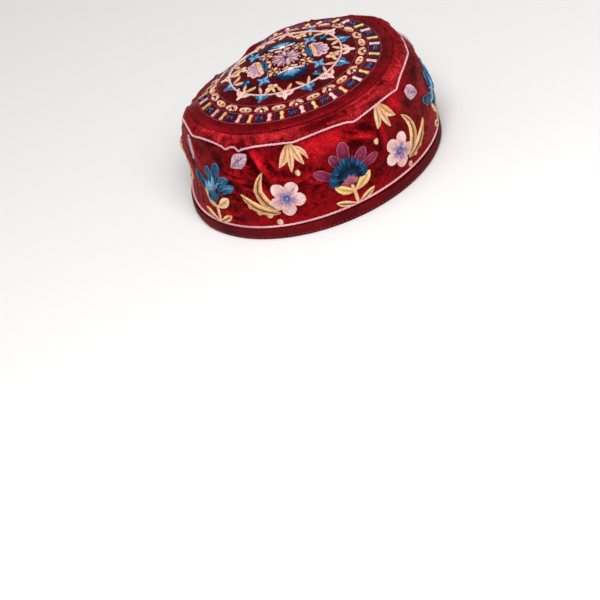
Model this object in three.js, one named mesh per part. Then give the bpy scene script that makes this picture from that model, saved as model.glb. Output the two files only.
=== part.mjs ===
// A soft pillbox cap of crimson velvet: a low domed crown, a puffed shoulder band, a side wall that flares towards
// the head opening, a binding folded round the lower edge and three pink couched cords. The cap keeps the shape that a head gave it:
// the opening is a little longer than wide, the crown has sunk on the wearer's left, and the wall has soft folds.
// Millimetres, +Z up. The origin is the middle of the opening on the surface that the rim stands on,
// +Y is the front of the cap and +X the wearer's right.
import * as THREE from "three";

// ---- Driving sizes ----
const SEGMENTS = 90; // steps round the cap
const CLOTH = 2.4; // velvet, interlining and lining together
const GAP = 0.3; // air left between sewn pieces
const SEAM_RADIUS = 79; // where the crown is sewn to the shoulder band
const SEAM_HEIGHT = 80;
const DOME_RISE = 12.7; // how far the middle of the crown stands above the seam
const DOME_POWER = 1.7;
const UPPER_CORD_HEIGHT = 71; // the cord covers the seam between shoulder band and wall
const CORD_PULL = 6.5; // how far above and below the cord the cloth follows its arches
const LOWER_CORD_HEIGHT = 10.4;
const CORD_DIAMETER = 1.7;
const CORD_SIDES = 5;
const CROWN_CORD_RADIUS = 42.8; // the ring couched on the crown
const CROWN_CORD_DIAMETER = 1.9;
const UPPER_CORD_SEGMENTS = 144;
const CROWN_CORD_SEGMENTS = 48;
const BINDING_HEIGHT = 9; // the strip folded round the lower edge
const BINDING_CLOTH = 1.1;

// Outside radius of the side wall by height, from the lower edge to the seam.
const WALL_SECTIONS = [
  { height: 0, radius: 92.6 },
  { height: 10, radius: 93.2 },
  { height: 22, radius: 93.2 },
  { height: 34, radius: 92.4 },
  { height: 45, radius: 91.4 },
  { height: 55, radius: 90.3 },
  { height: 64, radius: 88.7 },
  { height: 71, radius: 86.8 },
  { height: 75.4, radius: 85.3 },
  { height: 78.6, radius: 82.6 },
  { height: 80, radius: 79 },
];

// How the opening differs from a circle by height: half of the difference between length and width,
// and how far the section has leant towards the right and the front.
const LEAN_SECTIONS = [
  { height: 0, oval: 2.7, right: 0, front: 0 },
  { height: 12, oval: 2.7, right: 0.6, front: 0.5 },
  { height: 28, oval: 2.4, right: 2.2, front: 1.9 },
  { height: 45, oval: 1.8, right: 2, front: 1.7 },
  { height: 60, oval: 0.8, right: 0.6, front: 0.5 },
  { height: 72, oval: 0, right: -0.6, front: -0.6 },
  { height: 100, oval: 0, right: -0.6, front: -0.6 },
];

// Where the crown and the top of the wall have sunk: direction and half width in degrees, depth in mm.
const SLUMPS = [
  { direction: 178, halfWidth: 38, depth: 14.5 },
  { direction: 128, halfWidth: 34, depth: 5 },
];

// Where the wall stands out or is drawn in: direction and half width in degrees, then the height of the middle,
// the half height and the rise in mm.
const WALL_SWELLS = [
  { direction: 178, halfWidth: 44, height: 42, halfHeight: 20, rise: 2.4 },
  { direction: -166, halfWidth: 48, height: 76, halfHeight: 13, rise: -5 },
  { direction: 46, halfWidth: 46, height: 62, halfHeight: 8, rise: 3 },
  { direction: -84, halfWidth: 16, height: 60, halfHeight: 9, rise: 1 },
];

// Puffs of the shoulder between the upper cord and the crown's seam.
const SHOULDER_PUFFS = [
  { direction: -128, halfWidth: 8, rise: 1.2 },
  { direction: -102, halfWidth: 9, rise: 1.6 },
  { direction: -72, halfWidth: 8, rise: 1.8 },
  { direction: -40, halfWidth: 9, rise: 1.4 },
  { direction: -10, halfWidth: 10, rise: 1.8 },
  { direction: 22, halfWidth: 9, rise: 1.4 },
  { direction: 52, halfWidth: 9, rise: 1.6 },
  { direction: 82, halfWidth: 8, rise: 1.2 },
  { direction: 112, halfWidth: 10, rise: 1.6 },
  { direction: 150, halfWidth: 9, rise: 1.2 },
  { direction: 184, halfWidth: 9, rise: 1.4 },
];

// Folds of the wall. A ridge has a positive rise and a valley a negative one. Direction and tilt are in degrees,
// tilt leaning the fold's top away from its direction, and the other columns in mm.
const WALL_FOLDS = [
  { direction: -76, height: 62, tilt: 30, length: 12, width: 3.6, rise: 1.6 },
  { direction: -80, height: 60, tilt: 30, length: 12, width: 3.4, rise: -1.4 },
  { direction: -46, height: 57, tilt: -80, length: 13, width: 6, rise: 1.8 },
  { direction: -30, height: 66, tilt: 62, length: 11, width: 3.8, rise: -2.0 },
  { direction: -24, height: 57, tilt: 55, length: 13, width: 3.6, rise: 1.7 },
  { direction: -14, height: 46, tilt: -20, length: 9, width: 3.2, rise: 1.2 },
  { direction: -86, height: 50, tilt: 85, length: 11, width: 4, rise: 1.2 },
  { direction: 2, height: 60, tilt: 20, length: 10, width: 5, rise: 1.3 },
  { direction: 45, height: 50, tilt: 10, length: 16, width: 7, rise: -1.5 },
  { direction: 84, height: 52, tilt: -35, length: 15, width: 6, rise: 1.8 },
  { direction: 118, height: 48, tilt: 80, length: 18, width: 6, rise: 2.0 },
  { direction: 150, height: 56, tilt: 20, length: 12, width: 5, rise: -1.8 },
  { direction: 172, height: 42, tilt: 88, length: 26, width: 7, rise: 3.2 },
  { direction: -165, height: 57, tilt: -85, length: 24, width: 5, rise: -2.4 },
  { direction: -140, height: 47, tilt: 70, length: 18, width: 6, rise: 2.0 },
  { direction: -122, height: 58, tilt: 15, length: 12, width: 5, rise: -1.4 },
];

// Notches of the upper cord: direction in degrees, and how far the notch and the run after it
// lie below and above the cord's height.
const CORD_NOTCHES = [
  { direction: -186, dip: 1.4, arch: 1.6 },
  { direction: -162, dip: 2.0, arch: 1.6 },
  { direction: -138, dip: 1.0, arch: 3.8 },
  { direction: -116, dip: 0, arch: 3.0 },
  { direction: -90, dip: 0.7, arch: 1.5 },
  { direction: -82, dip: 1.3, arch: 1.5 },
  { direction: -55.6, dip: 0.5, arch: 1.5 },
  { direction: -24.5, dip: 3.4, arch: -0.7 },
  { direction: 6, dip: 4.0, arch: 1.6 },
  { direction: 36, dip: 1.6, arch: 1.6 },
  { direction: 66, dip: 2.4, arch: 1.0 },
  { direction: 94, dip: 1.2, arch: 1.8 },
  { direction: 126, dip: 2.2, arch: 1.2 },
  { direction: 152, dip: 1.0, arch: 1.6 },
];

// ---- Numbers read from the tables ----
const smooth = (x, from, to) => THREE.MathUtils.smoothstep(x, from, to);
const degrees = THREE.MathUtils.degToRad;

// The shortest turn from one direction to another, in degrees.
function turn(from, to) {
  return ((((to - from + 180) % 360) + 360) % 360) - 180;
}

// A column of a table at a height, on a smooth curve through its rows.
function columnAt(rows, column, height) {
  const last = rows.length - 1;
  const found = rows.findIndex((row) => row.height >= height);
  const upper = found === -1 ? last : Math.max(found, 1);
  const [a, b] = [rows[upper - 1], rows[upper]];
  const before = rows[Math.max(upper - 2, 0)];
  const after = rows[Math.min(upper + 1, last)];
  const step = b.height - a.height;
  const share = THREE.MathUtils.clamp((height - a.height) / step, 0, 1);
  const slopeA = (b[column] - before[column]) / (b.height - before.height);
  const slopeB = (after[column] - a[column]) / (after.height - a.height);
  const s2 = share * share;
  const s3 = s2 * share;
  return (
    (2 * s3 - 3 * s2 + 1) * a[column] +
    (s3 - 2 * s2 + share) * slopeA * step +
    (3 * s2 - 2 * s3) * b[column] +
    (s3 - s2) * slopeB * step
  );
}

// ---- The cloth's shape ----
// How near a direction is to a row's own: 1 in the middle, next to nothing beyond its half width.
function nearness(row, direction) {
  return Math.exp(-((turn(row.direction, direction) / row.halfWidth) ** 4));
}

function slumpAt(direction) {
  return SLUMPS.reduce((sum, slump) => sum + slump.depth * nearness(slump, direction), 0);
}

function swellAt(direction, height) {
  return WALL_SWELLS.reduce((sum, swell) => {
    const up = (height - swell.height) / swell.halfHeight;
    return sum + swell.rise * nearness(swell, direction) * Math.exp(-(up ** 2));
  }, 0);
}

function puffAt(direction, height) {
  const share = THREE.MathUtils.inverseLerp(UPPER_CORD_HEIGHT + 1, SEAM_HEIGHT, height);
  const across = Math.sin(Math.PI * THREE.MathUtils.clamp(share, 0, 1));
  return SHOULDER_PUFFS.reduce((sum, puff) => sum + puff.rise * nearness(puff, direction) * across, 0);
}

function foldAt(direction, height) {
  const sum = WALL_FOLDS.reduce((total, fold) => {
    const around = degrees(turn(fold.direction, direction)) * WALL_SECTIONS[0].radius;
    const up = height - fold.height;
    const tilt = degrees(fold.tilt);
    const along = (up * Math.cos(tilt) - around * Math.sin(tilt)) / fold.length;
    const across = (around * Math.cos(tilt) + up * Math.sin(tilt)) / fold.width;
    return total + fold.rise * Math.exp(-(along ** 2) - across ** 2);
  }, 0);
  return sum * smooth(height, 14, 30) * (1 - smooth(height, UPPER_CORD_HEIGHT - 9, UPPER_CORD_HEIGHT - 2));
}

// Carries a point of the evenly turned cap to where it lies in the worn cloth.
function wornPoint(point) {
  const direction = THREE.MathUtils.radToDeg(Math.atan2(point.y, point.x));
  const radius = Math.hypot(point.x, point.y);
  const toSeam = smooth(radius, CROWN_CORD_RADIUS, SEAM_RADIUS);
  const moved = swellAt(direction, point.z) * smooth(point.z, 10, 24) + foldAt(direction, point.z);
  const puffed = puffAt(direction, point.z) * smooth(radius, SEAM_RADIUS, SEAM_RADIUS + 4);
  const grown = (radius + moved * toSeam + puffed * 0.7) / Math.max(radius, 1e-6);
  const inSlump = smooth(radius, CROWN_CORD_RADIUS / 2, SEAM_RADIUS + 4);
  const sunk = slumpAt(direction) * inSlump * smooth(point.z, 18, SEAM_HEIGHT);
  const oval = columnAt(LEAN_SECTIONS, "oval", point.z) / WALL_SECTIONS[0].radius;
  return new THREE.Vector3(
    point.x * grown * (1 - oval) + columnAt(LEAN_SECTIONS, "right", point.z),
    point.y * grown * (1 + oval) + columnAt(LEAN_SECTIONS, "front", point.z),
    point.z - sunk + puffed * 0.7,
  );
}

// Turns a closed outline of [radius, height] points round the axis and lets the cloth take its worn shape.
function turned(outline, segments = SEGMENTS, place = (point) => point) {
  const points = outline.map(([radius, height]) => new THREE.Vector2(radius, height));
  const geometry = new THREE.LatheGeometry(points, segments).rotateX(Math.PI / 2);
  const position = geometry.getAttribute("position");
  const point = new THREE.Vector3();
  for (let i = 0; i < position.count; i += 1) {
    const worn = wornPoint(place(point.fromBufferAttribute(position, i)));
    position.setXYZ(i, worn.x, worn.y, worn.z);
  }
  geometry.computeVertexNormals();
  return geometry;
}

// ---- Outlines of the evenly turned pieces ----
const crownHeight = (radius) =>
  SEAM_HEIGHT + DOME_RISE * (1 - (radius / SEAM_RADIUS) ** DOME_POWER);
const wallRadius = (height) => columnAt(WALL_SECTIONS, "radius", height);

function crownOutline() {
  const edge = SEAM_RADIUS - GAP / 2;
  const under = [0, 0.28, 0.54, 0.77, 1].map((share) => share * edge);
  const top = [1, 0.93, 0.86, 0.77, 0.66, 0.54, 0.42, 0.28, 0.14, 0].map((share) => share * edge);
  return [
    ...under.map((radius) => [radius, crownHeight(radius) - CLOTH]),
    ...top.map((radius) => [radius, crownHeight(radius)]),
  ];
}

const insideWall = (height) => [
  Math.min(wallRadius(height) - CLOTH, wallRadius(height + CLOTH * 0.8) - CLOTH * 0.7),
  height,
];

function shoulderOutline() {
  const lowest = UPPER_CORD_HEIGHT + GAP / 2;
  const seam = SEAM_RADIUS + GAP / 2;
  const outside = [lowest, 74, 77, 79].map((height) => [wallRadius(height), height]);
  const inside = [76.4, lowest].map(insideWall);
  const outline = [...outside, [seam, SEAM_HEIGHT], [seam, SEAM_HEIGHT - CLOTH], ...inside];
  return [...outline, outline[0]];
}

function wallOutline() {
  const lowest = BINDING_CLOTH + GAP;
  const highest = UPPER_CORD_HEIGHT - GAP / 2;
  const outside = [lowest, BINDING_HEIGHT, 16, 24, 31, 38, 45, 51, 57, 63, 67, highest];
  const inside = [highest, 66, 57, 48, 39, 28, 18, BINDING_HEIGHT, lowest];
  const outline = [...outside.map((height) => [wallRadius(height), height]), ...inside.map(insideWall)];
  return [...outline, outline[0]];
}

function bindingOutline() {
  const outer = wallRadius(0) + GAP + BINDING_CLOTH;
  const inner = wallRadius(0) - CLOTH - GAP - BINDING_CLOTH;
  const flare = wallRadius(BINDING_HEIGHT) - wallRadius(0);
  const outline = [
    [outer - BINDING_CLOTH, BINDING_CLOTH],
    [inner + BINDING_CLOTH, BINDING_CLOTH],
    [inner + BINDING_CLOTH + flare, BINDING_HEIGHT],
    [inner + flare, BINDING_HEIGHT],
    [inner, 0],
    [outer - 0.8, 0],
    [outer, 0.6],
    [outer + flare, BINDING_HEIGHT],
    [outer - BINDING_CLOTH + flare, BINDING_HEIGHT],
  ];
  return [...outline, outline[0]];
}

function cordOutline(radius, height, diameter) {
  return Array.from({ length: CORD_SIDES + 1 }, (_, i) => {
    const angle = (2 * Math.PI * (i % CORD_SIDES)) / CORD_SIDES;
    return [radius + (Math.cos(angle) * diameter) / 2, height + (Math.sin(angle) * diameter) / 2];
  });
}

// The upper cord rises in a low arch between its notches and stays on the wall.
function archAt(direction) {
  const count = CORD_NOTCHES.length;
  for (let i = 0; i < count; i += 1) {
    const [from, to] = [CORD_NOTCHES[i], CORD_NOTCHES[(i + 1) % count]];
    const span = (turn(from.direction, to.direction) + 360) % 360;
    const passed = (turn(from.direction, direction) + 360) % 360;
    if (passed <= span) {
      const share = passed / span;
      const dip = THREE.MathUtils.lerp(from.dip, to.dip, share);
      return -dip + (from.arch + dip) * (4 * share * (1 - share)) ** 0.5;
    }
  }
  return 0;
}

// The cloth on both sides of the upper cord is drawn up and down with it.
function withCord(point) {
  const direction = THREE.MathUtils.radToDeg(Math.atan2(point.y, point.x));
  const reach = Math.abs(point.z - UPPER_CORD_HEIGHT) / CORD_PULL;
  const height = point.z + archAt(direction) * (1 - smooth(reach, 0, 1));
  const radius = Math.hypot(point.x, point.y);
  const grown = 1 + (wallRadius(height) - wallRadius(point.z)) / radius;
  return point.set(point.x * grown, point.y * grown, height);
}

// ---- Pieces ----
const cordSeat = GAP * 1.5 + CORD_DIAMETER / 2;
const pieces = [
  {
    name: "crown_panel",
    geometry: turned(crownOutline()),
    material: { color: 0x7a0c14, roughness: 0.62, metalness: 0 },
  },
  {
    name: "shoulder_band",
    geometry: turned(shoulderOutline(), SEGMENTS, withCord),
    material: { color: 0xb3121f, roughness: 0.45, metalness: 0 },
  },
  {
    name: "side_wall",
    geometry: turned(wallOutline(), SEGMENTS, withCord),
    material: { color: 0x920d1a, roughness: 0.5, metalness: 0 },
  },
  {
    name: "rim_binding",
    geometry: turned(bindingOutline()),
    material: { color: 0x750f19, roughness: 0.68, metalness: 0 },
  },
  {
    name: "upper_cord",
    geometry: turned(
      cordOutline(wallRadius(UPPER_CORD_HEIGHT) + cordSeat, UPPER_CORD_HEIGHT, CORD_DIAMETER),
      UPPER_CORD_SEGMENTS,
      withCord,
    ),
    material: { color: 0xe8a2ae, roughness: 0.45, metalness: 0 },
  },
  {
    name: "lower_cord",
    geometry: turned(
      cordOutline(wallRadius(LOWER_CORD_HEIGHT) + cordSeat, LOWER_CORD_HEIGHT, CORD_DIAMETER),
    ),
    material: { color: 0xdd98a6, roughness: 0.45, metalness: 0 },
  },
  {
    name: "crown_cord",
    geometry: turned(
      cordOutline(
        CROWN_CORD_RADIUS,
        crownHeight(CROWN_CORD_RADIUS) + GAP + CROWN_CORD_DIAMETER / 2,
        CROWN_CORD_DIAMETER,
      ),
      CROWN_CORD_SEGMENTS,
    ),
    material: { color: 0xefc9c0, roughness: 0.45, metalness: 0 },
  },
];

const cap = new THREE.Group();
for (const { name, geometry, material } of pieces) {
  const mesh = new THREE.Mesh(geometry, new THREE.MeshStandardMaterial(material));
  mesh.name = name;
  cap.add(mesh);
}

export default cap;
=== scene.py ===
"""Dresses the velvet skullcap: cloth, couched cords and satin stitch embroidery on the packed frame.

The frame's solids give every place. Their outer faces are sampled once into a smooth grid. The cap's cloth
is that grid with its fine creases, and each stitch is a strand of thread that lies on the same cloth.

Lengths on the cloth are in mm. A place on it is a direction round the cap, in degrees from the middle of
the side that is seen, and a drop: mm below the upper cord on the wall, negative above it and on the crown.
"""

import math
from functools import partial

import bmesh
import bpy
import numpy as np
from mathutils import Matrix, Vector
from mathutils.bvhtree import BVHTree


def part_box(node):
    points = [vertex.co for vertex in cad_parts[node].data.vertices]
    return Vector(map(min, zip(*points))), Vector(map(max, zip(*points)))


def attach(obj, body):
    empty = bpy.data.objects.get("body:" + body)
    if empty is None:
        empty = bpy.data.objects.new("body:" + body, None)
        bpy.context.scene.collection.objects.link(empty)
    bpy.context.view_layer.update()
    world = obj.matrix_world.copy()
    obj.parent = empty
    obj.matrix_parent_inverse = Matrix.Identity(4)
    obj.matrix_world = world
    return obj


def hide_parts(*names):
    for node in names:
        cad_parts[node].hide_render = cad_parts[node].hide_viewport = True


bl_info = {
    "name": "Embroidered Velvet Skullcap",
    "version": (1, 0, 0),
    "blender": (4, 5, 0),
    "location": "View3D > Sidebar > Skullcap",
    "description": "Crushed velvet, couched cords and satin stitch flowers for a soft pillbox cap",
    "category": "Object",
}

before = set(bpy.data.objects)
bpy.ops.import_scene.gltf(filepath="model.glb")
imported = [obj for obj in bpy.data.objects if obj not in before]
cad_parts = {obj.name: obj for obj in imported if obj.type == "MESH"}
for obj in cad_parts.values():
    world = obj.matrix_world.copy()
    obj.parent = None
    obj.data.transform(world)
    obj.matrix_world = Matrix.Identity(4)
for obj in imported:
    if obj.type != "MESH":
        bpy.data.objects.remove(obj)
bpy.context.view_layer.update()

MM = 0.001
SEEN_SIDE = -48.0  # plan direction, in degrees from +X, of the middle of the seen side
BODY = "root"

# ---- The cap's own measures, in mm ----
SEAM_DROP = -12.0  # the crown's seam
APEX_DROP = -91.0  # the middle of the crown
LOWER_CORD_DROP = 61.0
BINDING_DROP = 62.0
HEM_DROP = 69.0
CROWN_RADIUS = SEAM_DROP - APEX_DROP
CIRCLE_RADIUS = 42.8  # of the cord on the crown
SEAM_HEIGHT = 80.0
CORD_HEIGHT = 71.0
SINK_FROM = 18.0  # the wall gives way above this height where the crown has sunk
WALL_RADIUS = 90.0  # turns mm along the wall into degrees
CORD_RING = 92.0  # mean radius of the wall's cords
HEM_RING = 94.0  # mean radius of the binding
BINDING_TOP = 9.0  # height of its upper edge
BINDING_FLOOR = 1.1  # thickness of its fold
FOOT_ROUND = 1.0  # radius of its lower edge

# ---- Where the cloth is drawn in ----
TUCK_AT, TUCK_REACH = -34.8, 2.0  # direction and half width of the upper cord's sharp tuck, in degrees
TUCK_DEPTH = 1.7
CORD_GROOVE = (1.5, 0.7)  # reach and depth under the upper cord
SEAM_GROOVE = (1.3, 1.0)  # reach and depth at the crown's seam
SEAM_ROLL = (1.9, 0.8, 0.5)  # distance from the seam, reach and rise of the roll beside it

# Folds of the wall and tucks of the shoulder: direction and tilt in degrees, the rest in mm. A tilt leans
# the fold's top to the left.
FOLDS = (
    # direction, drop, tilt, length, width, rise
    # On the wall, the deepest beside the upper cord's tuck
    (-25.3, 11.0, 24.0, 12.0, 2.0, 2.9),
    (-29.6, 11.0, 26.0, 12.0, 2.6, -2.6),
    (-21.6, 12.0, 22.0, 11.0, 2.2, -1.5),
    (-33.5, 15.0, 30.0, 8.0, 1.6, 1.6),
    (-31.2, 13.0, 30.0, 8.0, 0.8, 1.7),
    (-27.4, 12.0, 25.0, 9.0, 0.8, -1.3),
    (-18.6, 14.5, 30.0, 7.0, 0.9, 1.2),
    (-35.2, -2.4, 0.0, 1.6, 1.4, -1.8),
    (21.6, 8.5, 58.0, 8.0, 0.8, 1.5),
    (16.2, 10.0, 50.0, 7.0, 0.8, -1.3),
    (12.0, 6.5, 62.0, 6.0, 0.9, 1.1),
    (-44.0, 22.0, 88.0, 6.0, 0.8, 1.2),
    (-33.0, 28.5, 82.0, 6.0, 0.8, -1.1),
    (-14.5, 30.0, 84.0, 6.0, 0.8, 1.2),
    (17.5, 6.0, 52.0, 11.0, 2.2, -2.3),
    (14.5, 3.5, 56.0, 9.0, 2.2, 1.3),
    (24.0, 14.5, 62.0, 9.0, 1.8, 2.6),
    (20.5, 17.5, 58.0, 9.0, 2.2, -1.5),
    (28.5, 11.0, 50.0, 8.0, 2.4, -1.4),
    (34.0, 24.0, -10.0, 9.0, 1.4, 2.3),
    (31.8, 24.0, -10.0, 8.0, 1.5, -1.7),
    (2.0, 8.0, 14.0, 8.0, 4.0, 1.2),
    (47.5, 10.0, -8.0, 7.0, 3.2, 1.3),
    (53.0, 14.0, 40.0, 8.0, 2.4, -1.1),
    (-40.0, 18.0, 84.0, 8.0, 1.5, 1.5),
    (-38.0, 21.5, 96.0, 7.0, 1.4, -0.9),
    (-36.0, 25.0, 76.0, 7.0, 1.3, 0.9),
    (-12.0, 27.5, 70.0, 7.0, 1.4, 1.5),
    (-9.0, 31.0, 100.0, 6.0, 1.3, -1.3),
    (-18.0, 25.0, 60.0, 5.0, 1.2, 1.2),
    (-47.0, 12.0, 30.0, 8.0, 2.6, -0.9),
    (-64.0, 14.0, 15.0, 11.0, 2.8, 1.1),
    (-75.0, 20.0, 30.0, 10.0, 3.0, -1.1),
    (72.0, 24.0, 35.0, 10.0, 2.6, 1.0),
    (98.0, 16.0, 55.0, 11.0, 2.6, -1.2),
    (112.0, 22.0, -30.0, 10.0, 2.4, 1.1),
    (-102.0, 20.0, 78.0, 14.0, 2.8, 1.2),
    (-124.0, 15.0, 96.0, 13.0, 2.6, -1.4),
    (-140.0, 26.0, 70.0, 12.0, 2.4, 1.2),
    (-165.0, 18.0, 82.0, 12.0, 2.4, 1.1),
    (168.0, 16.0, 100.0, 11.0, 2.2, -1.0),
    (140.0, 24.0, 62.0, 9.0, 2.0, 0.9),
    # On the shoulder
    (6.0, -6.0, 96.0, 11.0, 2.2, -1.6),
    (-38.5, -4.0, 22.0, 6.5, 1.3, -1.3),
    (-32.5, -4.5, 18.0, 6.5, 1.2, -1.2),
    (-26.5, -5.0, 28.0, 6.0, 1.3, -1.2),
    (-12.0, -4.0, -18.0, 5.0, 1.2, -0.9),
    (26.0, -4.0, -30.0, 6.0, 1.5, -1.2),
    (40.0, -7.5, 92.0, 12.0, 1.5, -1.1),
    (52.0, -5.0, 30.0, 6.0, 1.5, -1.1),
    (64.0, -5.0, -20.0, 6.0, 1.3, -0.9),
    (78.0, -6.0, 20.0, 6.0, 1.3, -0.9),
    (-52.0, -5.0, -12.0, 6.0, 1.3, -0.9),
    (-66.0, -5.0, 24.0, 6.0, 1.3, -1.0),
    (28.0, -8.6, 88.0, 12.0, 1.2, -1.4),
    (40.0, -6.0, 92.0, 14.0, 1.2, 1.3),
    (46.0, -9.2, 88.0, 12.0, 1.1, -1.3),
    (58.0, -5.2, 90.0, 12.0, 1.3, 1.2),
    (66.0, -8.6, 92.0, 12.0, 1.1, -1.1),
    (33.0, -3.4, 80.0, 9.0, 1.2, -1.1),
    (8.0, -8.0, 90.0, 12.0, 1.2, -1.2),
    (14.0, -4.4, 84.0, 10.0, 1.1, 1.0),
    # Short ones at the left and in the middle of the seen wall
    (-47.0, 22.0, 88.0, 7.0, 1.6, 2.0),
    (-46.0, 26.0, 92.0, 6.0, 1.6, -1.6),
    (-43.0, 33.0, 70.0, 4.5, 1.4, 1.7),
    (-47.0, 36.5, 100.0, 4.5, 1.4, -1.3),
    (-44.0, 41.0, 80.0, 5.0, 1.4, 1.6),
    (-47.0, 52.0, 90.0, 7.0, 1.6, 1.5),
    (-43.0, 56.0, 84.0, 5.0, 1.4, -1.1),
    (-3.0, 33.0, 60.0, 6.0, 1.5, 1.6),
    (-1.0, 37.0, 100.0, 5.0, 1.3, -1.3),
    (-5.5, 28.0, 110.0, 5.0, 1.3, 1.4),
)

# Broad swells of the whole side: how far each reaches along and down, and its rise.
SWELLS = (
    # direction, drop, along, down, rise
    (-88.0, 34.0, 34.0, 28.0, -2.4),
    (91.0, 27.0, 22.0, 14.0, 2.4),
    (117.0, -6.0, 13.0, 8.0, 3.0),
    (-166.0, -9.0, 9.0, 7.0, 2.6),
    (2.0, 11.0, 26.0, 11.0, 1.6),
)

# Painted light and shade on the cloth: patches where its colour is painted lighter, as a painted sheen, or
# darker, as painted shade: how far each reaches along and down, and its tone.
PAINTED_LIGHT_PATCHES = (
    # direction, drop, along, down, tone
    (0.0, 5.0, 10.0, 8.0, 0.7),
    (12.0, 7.0, 12.0, 7.0, 1.8),
    (25.0, 2.0, 6.0, 4.0, 0.9),
    (49.0, 4.0, 9.0, 7.0, 1.6),
    (60.0, 2.0, 6.0, 4.0, 0.9),
    (-25.0, 8.0, 8.0, 9.0, 1.1),
    (-36.0, 11.0, 5.0, 5.0, 0.5),
    (0.0, 16.0, 8.0, 5.0, 0.5),
    (30.0, 19.0, 9.0, 7.0, 0.35),
    (72.0, 9.0, 12.0, 8.0, -0.7),
    (0.0, 60.0, 150.0, 6.0, 0.6),
    (-54.0, -11.0, 15.0, 3.5, 1.9),
    (-40.0, -7.0, 12.0, 4.0, 0.7),
    (-17.0, -7.5, 18.0, 4.0, 1.3),
    # a painted highlight along the crown's seam
    (0.0, -10.6, 150.0, 1.6, 0.9),
    # painted shade over the crown's embroidered field
    (0.0, -66.0, 5000.0, 40.0, -0.44),
    (24.0, 18.0, 6.0, 5.0, 0.8),
    (6.0, -7.0, 15.0, 4.0, -0.6),
    (28.0, -6.5, 9.0, 4.0, 1.2),
    (38.0, -10.0, 8.0, 4.0, 1.6),
    (63.0, -6.0, 18.0, 5.0, 1.5),
    (120.0, -6.0, 40.0, 5.0, 0.4),
    (-120.0, -6.0, 30.0, 5.0, 0.5),
    (170.0, 8.0, 40.0, 9.0, 0.5),
)

# Where the pile is crushed: how far each reaches along and down, and how much more than elsewhere.
CRUSHED_ELSEWHERE = 0.3  # share of the whole wall's crumples
CRUSHED = (
    # direction, drop, along, down, more
    (-29.0, 26.0, 22.0, 20.0, 0.75),
    (-8.0, 30.0, 14.0, 14.0, 0.40),
    (24.0, 18.0, 16.0, 12.0, 0.45),
    (-45.0, 44.0, 14.0, 14.0, 0.35),
    (-95.0, 26.0, 40.0, 22.0, 0.25),
    (-150.0, 24.0, 40.0, 20.0, 0.35),
    (130.0, 22.0, 40.0, 18.0, 0.30),
)

# Satin threads: the dark and the light end of each shade, as linear colours.
THREADS = {
    "gold": ((0.40, 0.11, 0.03), (1.0, 0.68, 0.36)),
    "cream": ((0.62, 0.24, 0.08), (1.0, 0.78, 0.50)),
    "brown": ((0.045, 0.010, 0.004), (0.22, 0.08, 0.02)),
    "pink": ((0.76, 0.18, 0.17), (1.0, 0.82, 0.78)),
    "lilac": ((0.11, 0.08, 0.28), (0.52, 0.36, 0.58)),
    "mauve": ((0.16, 0.05, 0.11), (0.82, 0.54, 0.64)),
    "rose": ((0.34, 0.06, 0.09), (0.78, 0.36, 0.40)),
    "purple": ((0.11, 0.005, 0.024), (0.46, 0.034, 0.11)),
    "navy": ((0.0005, 0.003, 0.014), (0.005, 0.090, 0.22)),
    "ink": ((0.002, 0.003, 0.012), (0.020, 0.034, 0.095)),
    "blue": ((0.002, 0.020, 0.056), (0.055, 0.30, 0.56)),
    "sky": ((0.06, 0.25, 0.48), (0.45, 0.74, 0.95)),
    "peach": ((0.44, 0.11, 0.05), (1.0, 0.70, 0.48)),
    "yellow": ((0.64, 0.27, 0.06), (1.0, 0.80, 0.36)),
    "plum": ((0.14, 0.018, 0.040), (0.44, 0.11, 0.18)),
    "crimson": ((0.10, 0.003, 0.006), (0.52, 0.018, 0.030)),
}


# ---- The cloth's smooth outer face ----
def loose_tree(*names):
    """A search tree over the outer faces of these frame nodes."""
    points, faces = [], []
    for name in names:
        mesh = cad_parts[name].data
        start = len(points)
        points += [vertex.co.copy() for vertex in mesh.vertices]
        faces += [[start + i for i in face.vertices] for face in mesh.polygons]
    return BVHTree.FromPolygons(points, faces)


def node_points(name):
    """A frame node's points, in mm."""
    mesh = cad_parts[name].data
    points = np.empty(len(mesh.vertices) * 3)
    mesh.vertices.foreach_get("co", points)
    return points.reshape(-1, 3) / MM


def crown_centre():
    """Where the crown's axis stands, in mm."""
    low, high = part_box("crown_cord")
    return np.array(((low.x + high.x) / 2, (low.y + high.y) / 2)) / MM


def around(points, centre):
    """Directions in degrees and distances of points from the crown's axis."""
    offset = points[:, :2] - centre
    return np.degrees(np.arctan2(offset[:, 1], offset[:, 0])), np.hypot(offset[:, 0], offset[:, 1])


def ring_of(points, centre, step, pick):
    """One value for each step round the axis, from the points that lie in it: [directions, values]."""
    angle, radius = around(points, centre)
    slot = np.round((angle + 90) / step).astype(int) % round(360 / step)
    rows = [pick(points[slot == k], radius[slot == k]) for k in range(round(360 / step))]
    return np.arange(len(rows)) * step - 90, np.array(rows)


def periodic(angle, directions, values):
    """Values between the directions where they are known, all round the cap."""
    return np.interp(angle, directions, values, period=360)


def blurred(grid, sigma, axis, wrap):
    """A Gaussian blur of the grid along one axis."""
    reach = int(math.ceil(sigma * 3))
    weights = np.exp(-0.5 * (np.arange(-reach, reach + 1) / sigma) ** 2)
    weights /= weights.sum()
    pad = [(0, 0)] * grid.ndim
    pad[axis] = (reach, reach)
    padded = np.pad(grid, pad, mode="wrap" if wrap else "edge")
    size = grid.shape[axis]
    parts = [w * np.take(padded, range(k, k + size), axis) for k, w in enumerate(weights)]
    return np.sum(parts, 0)


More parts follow.
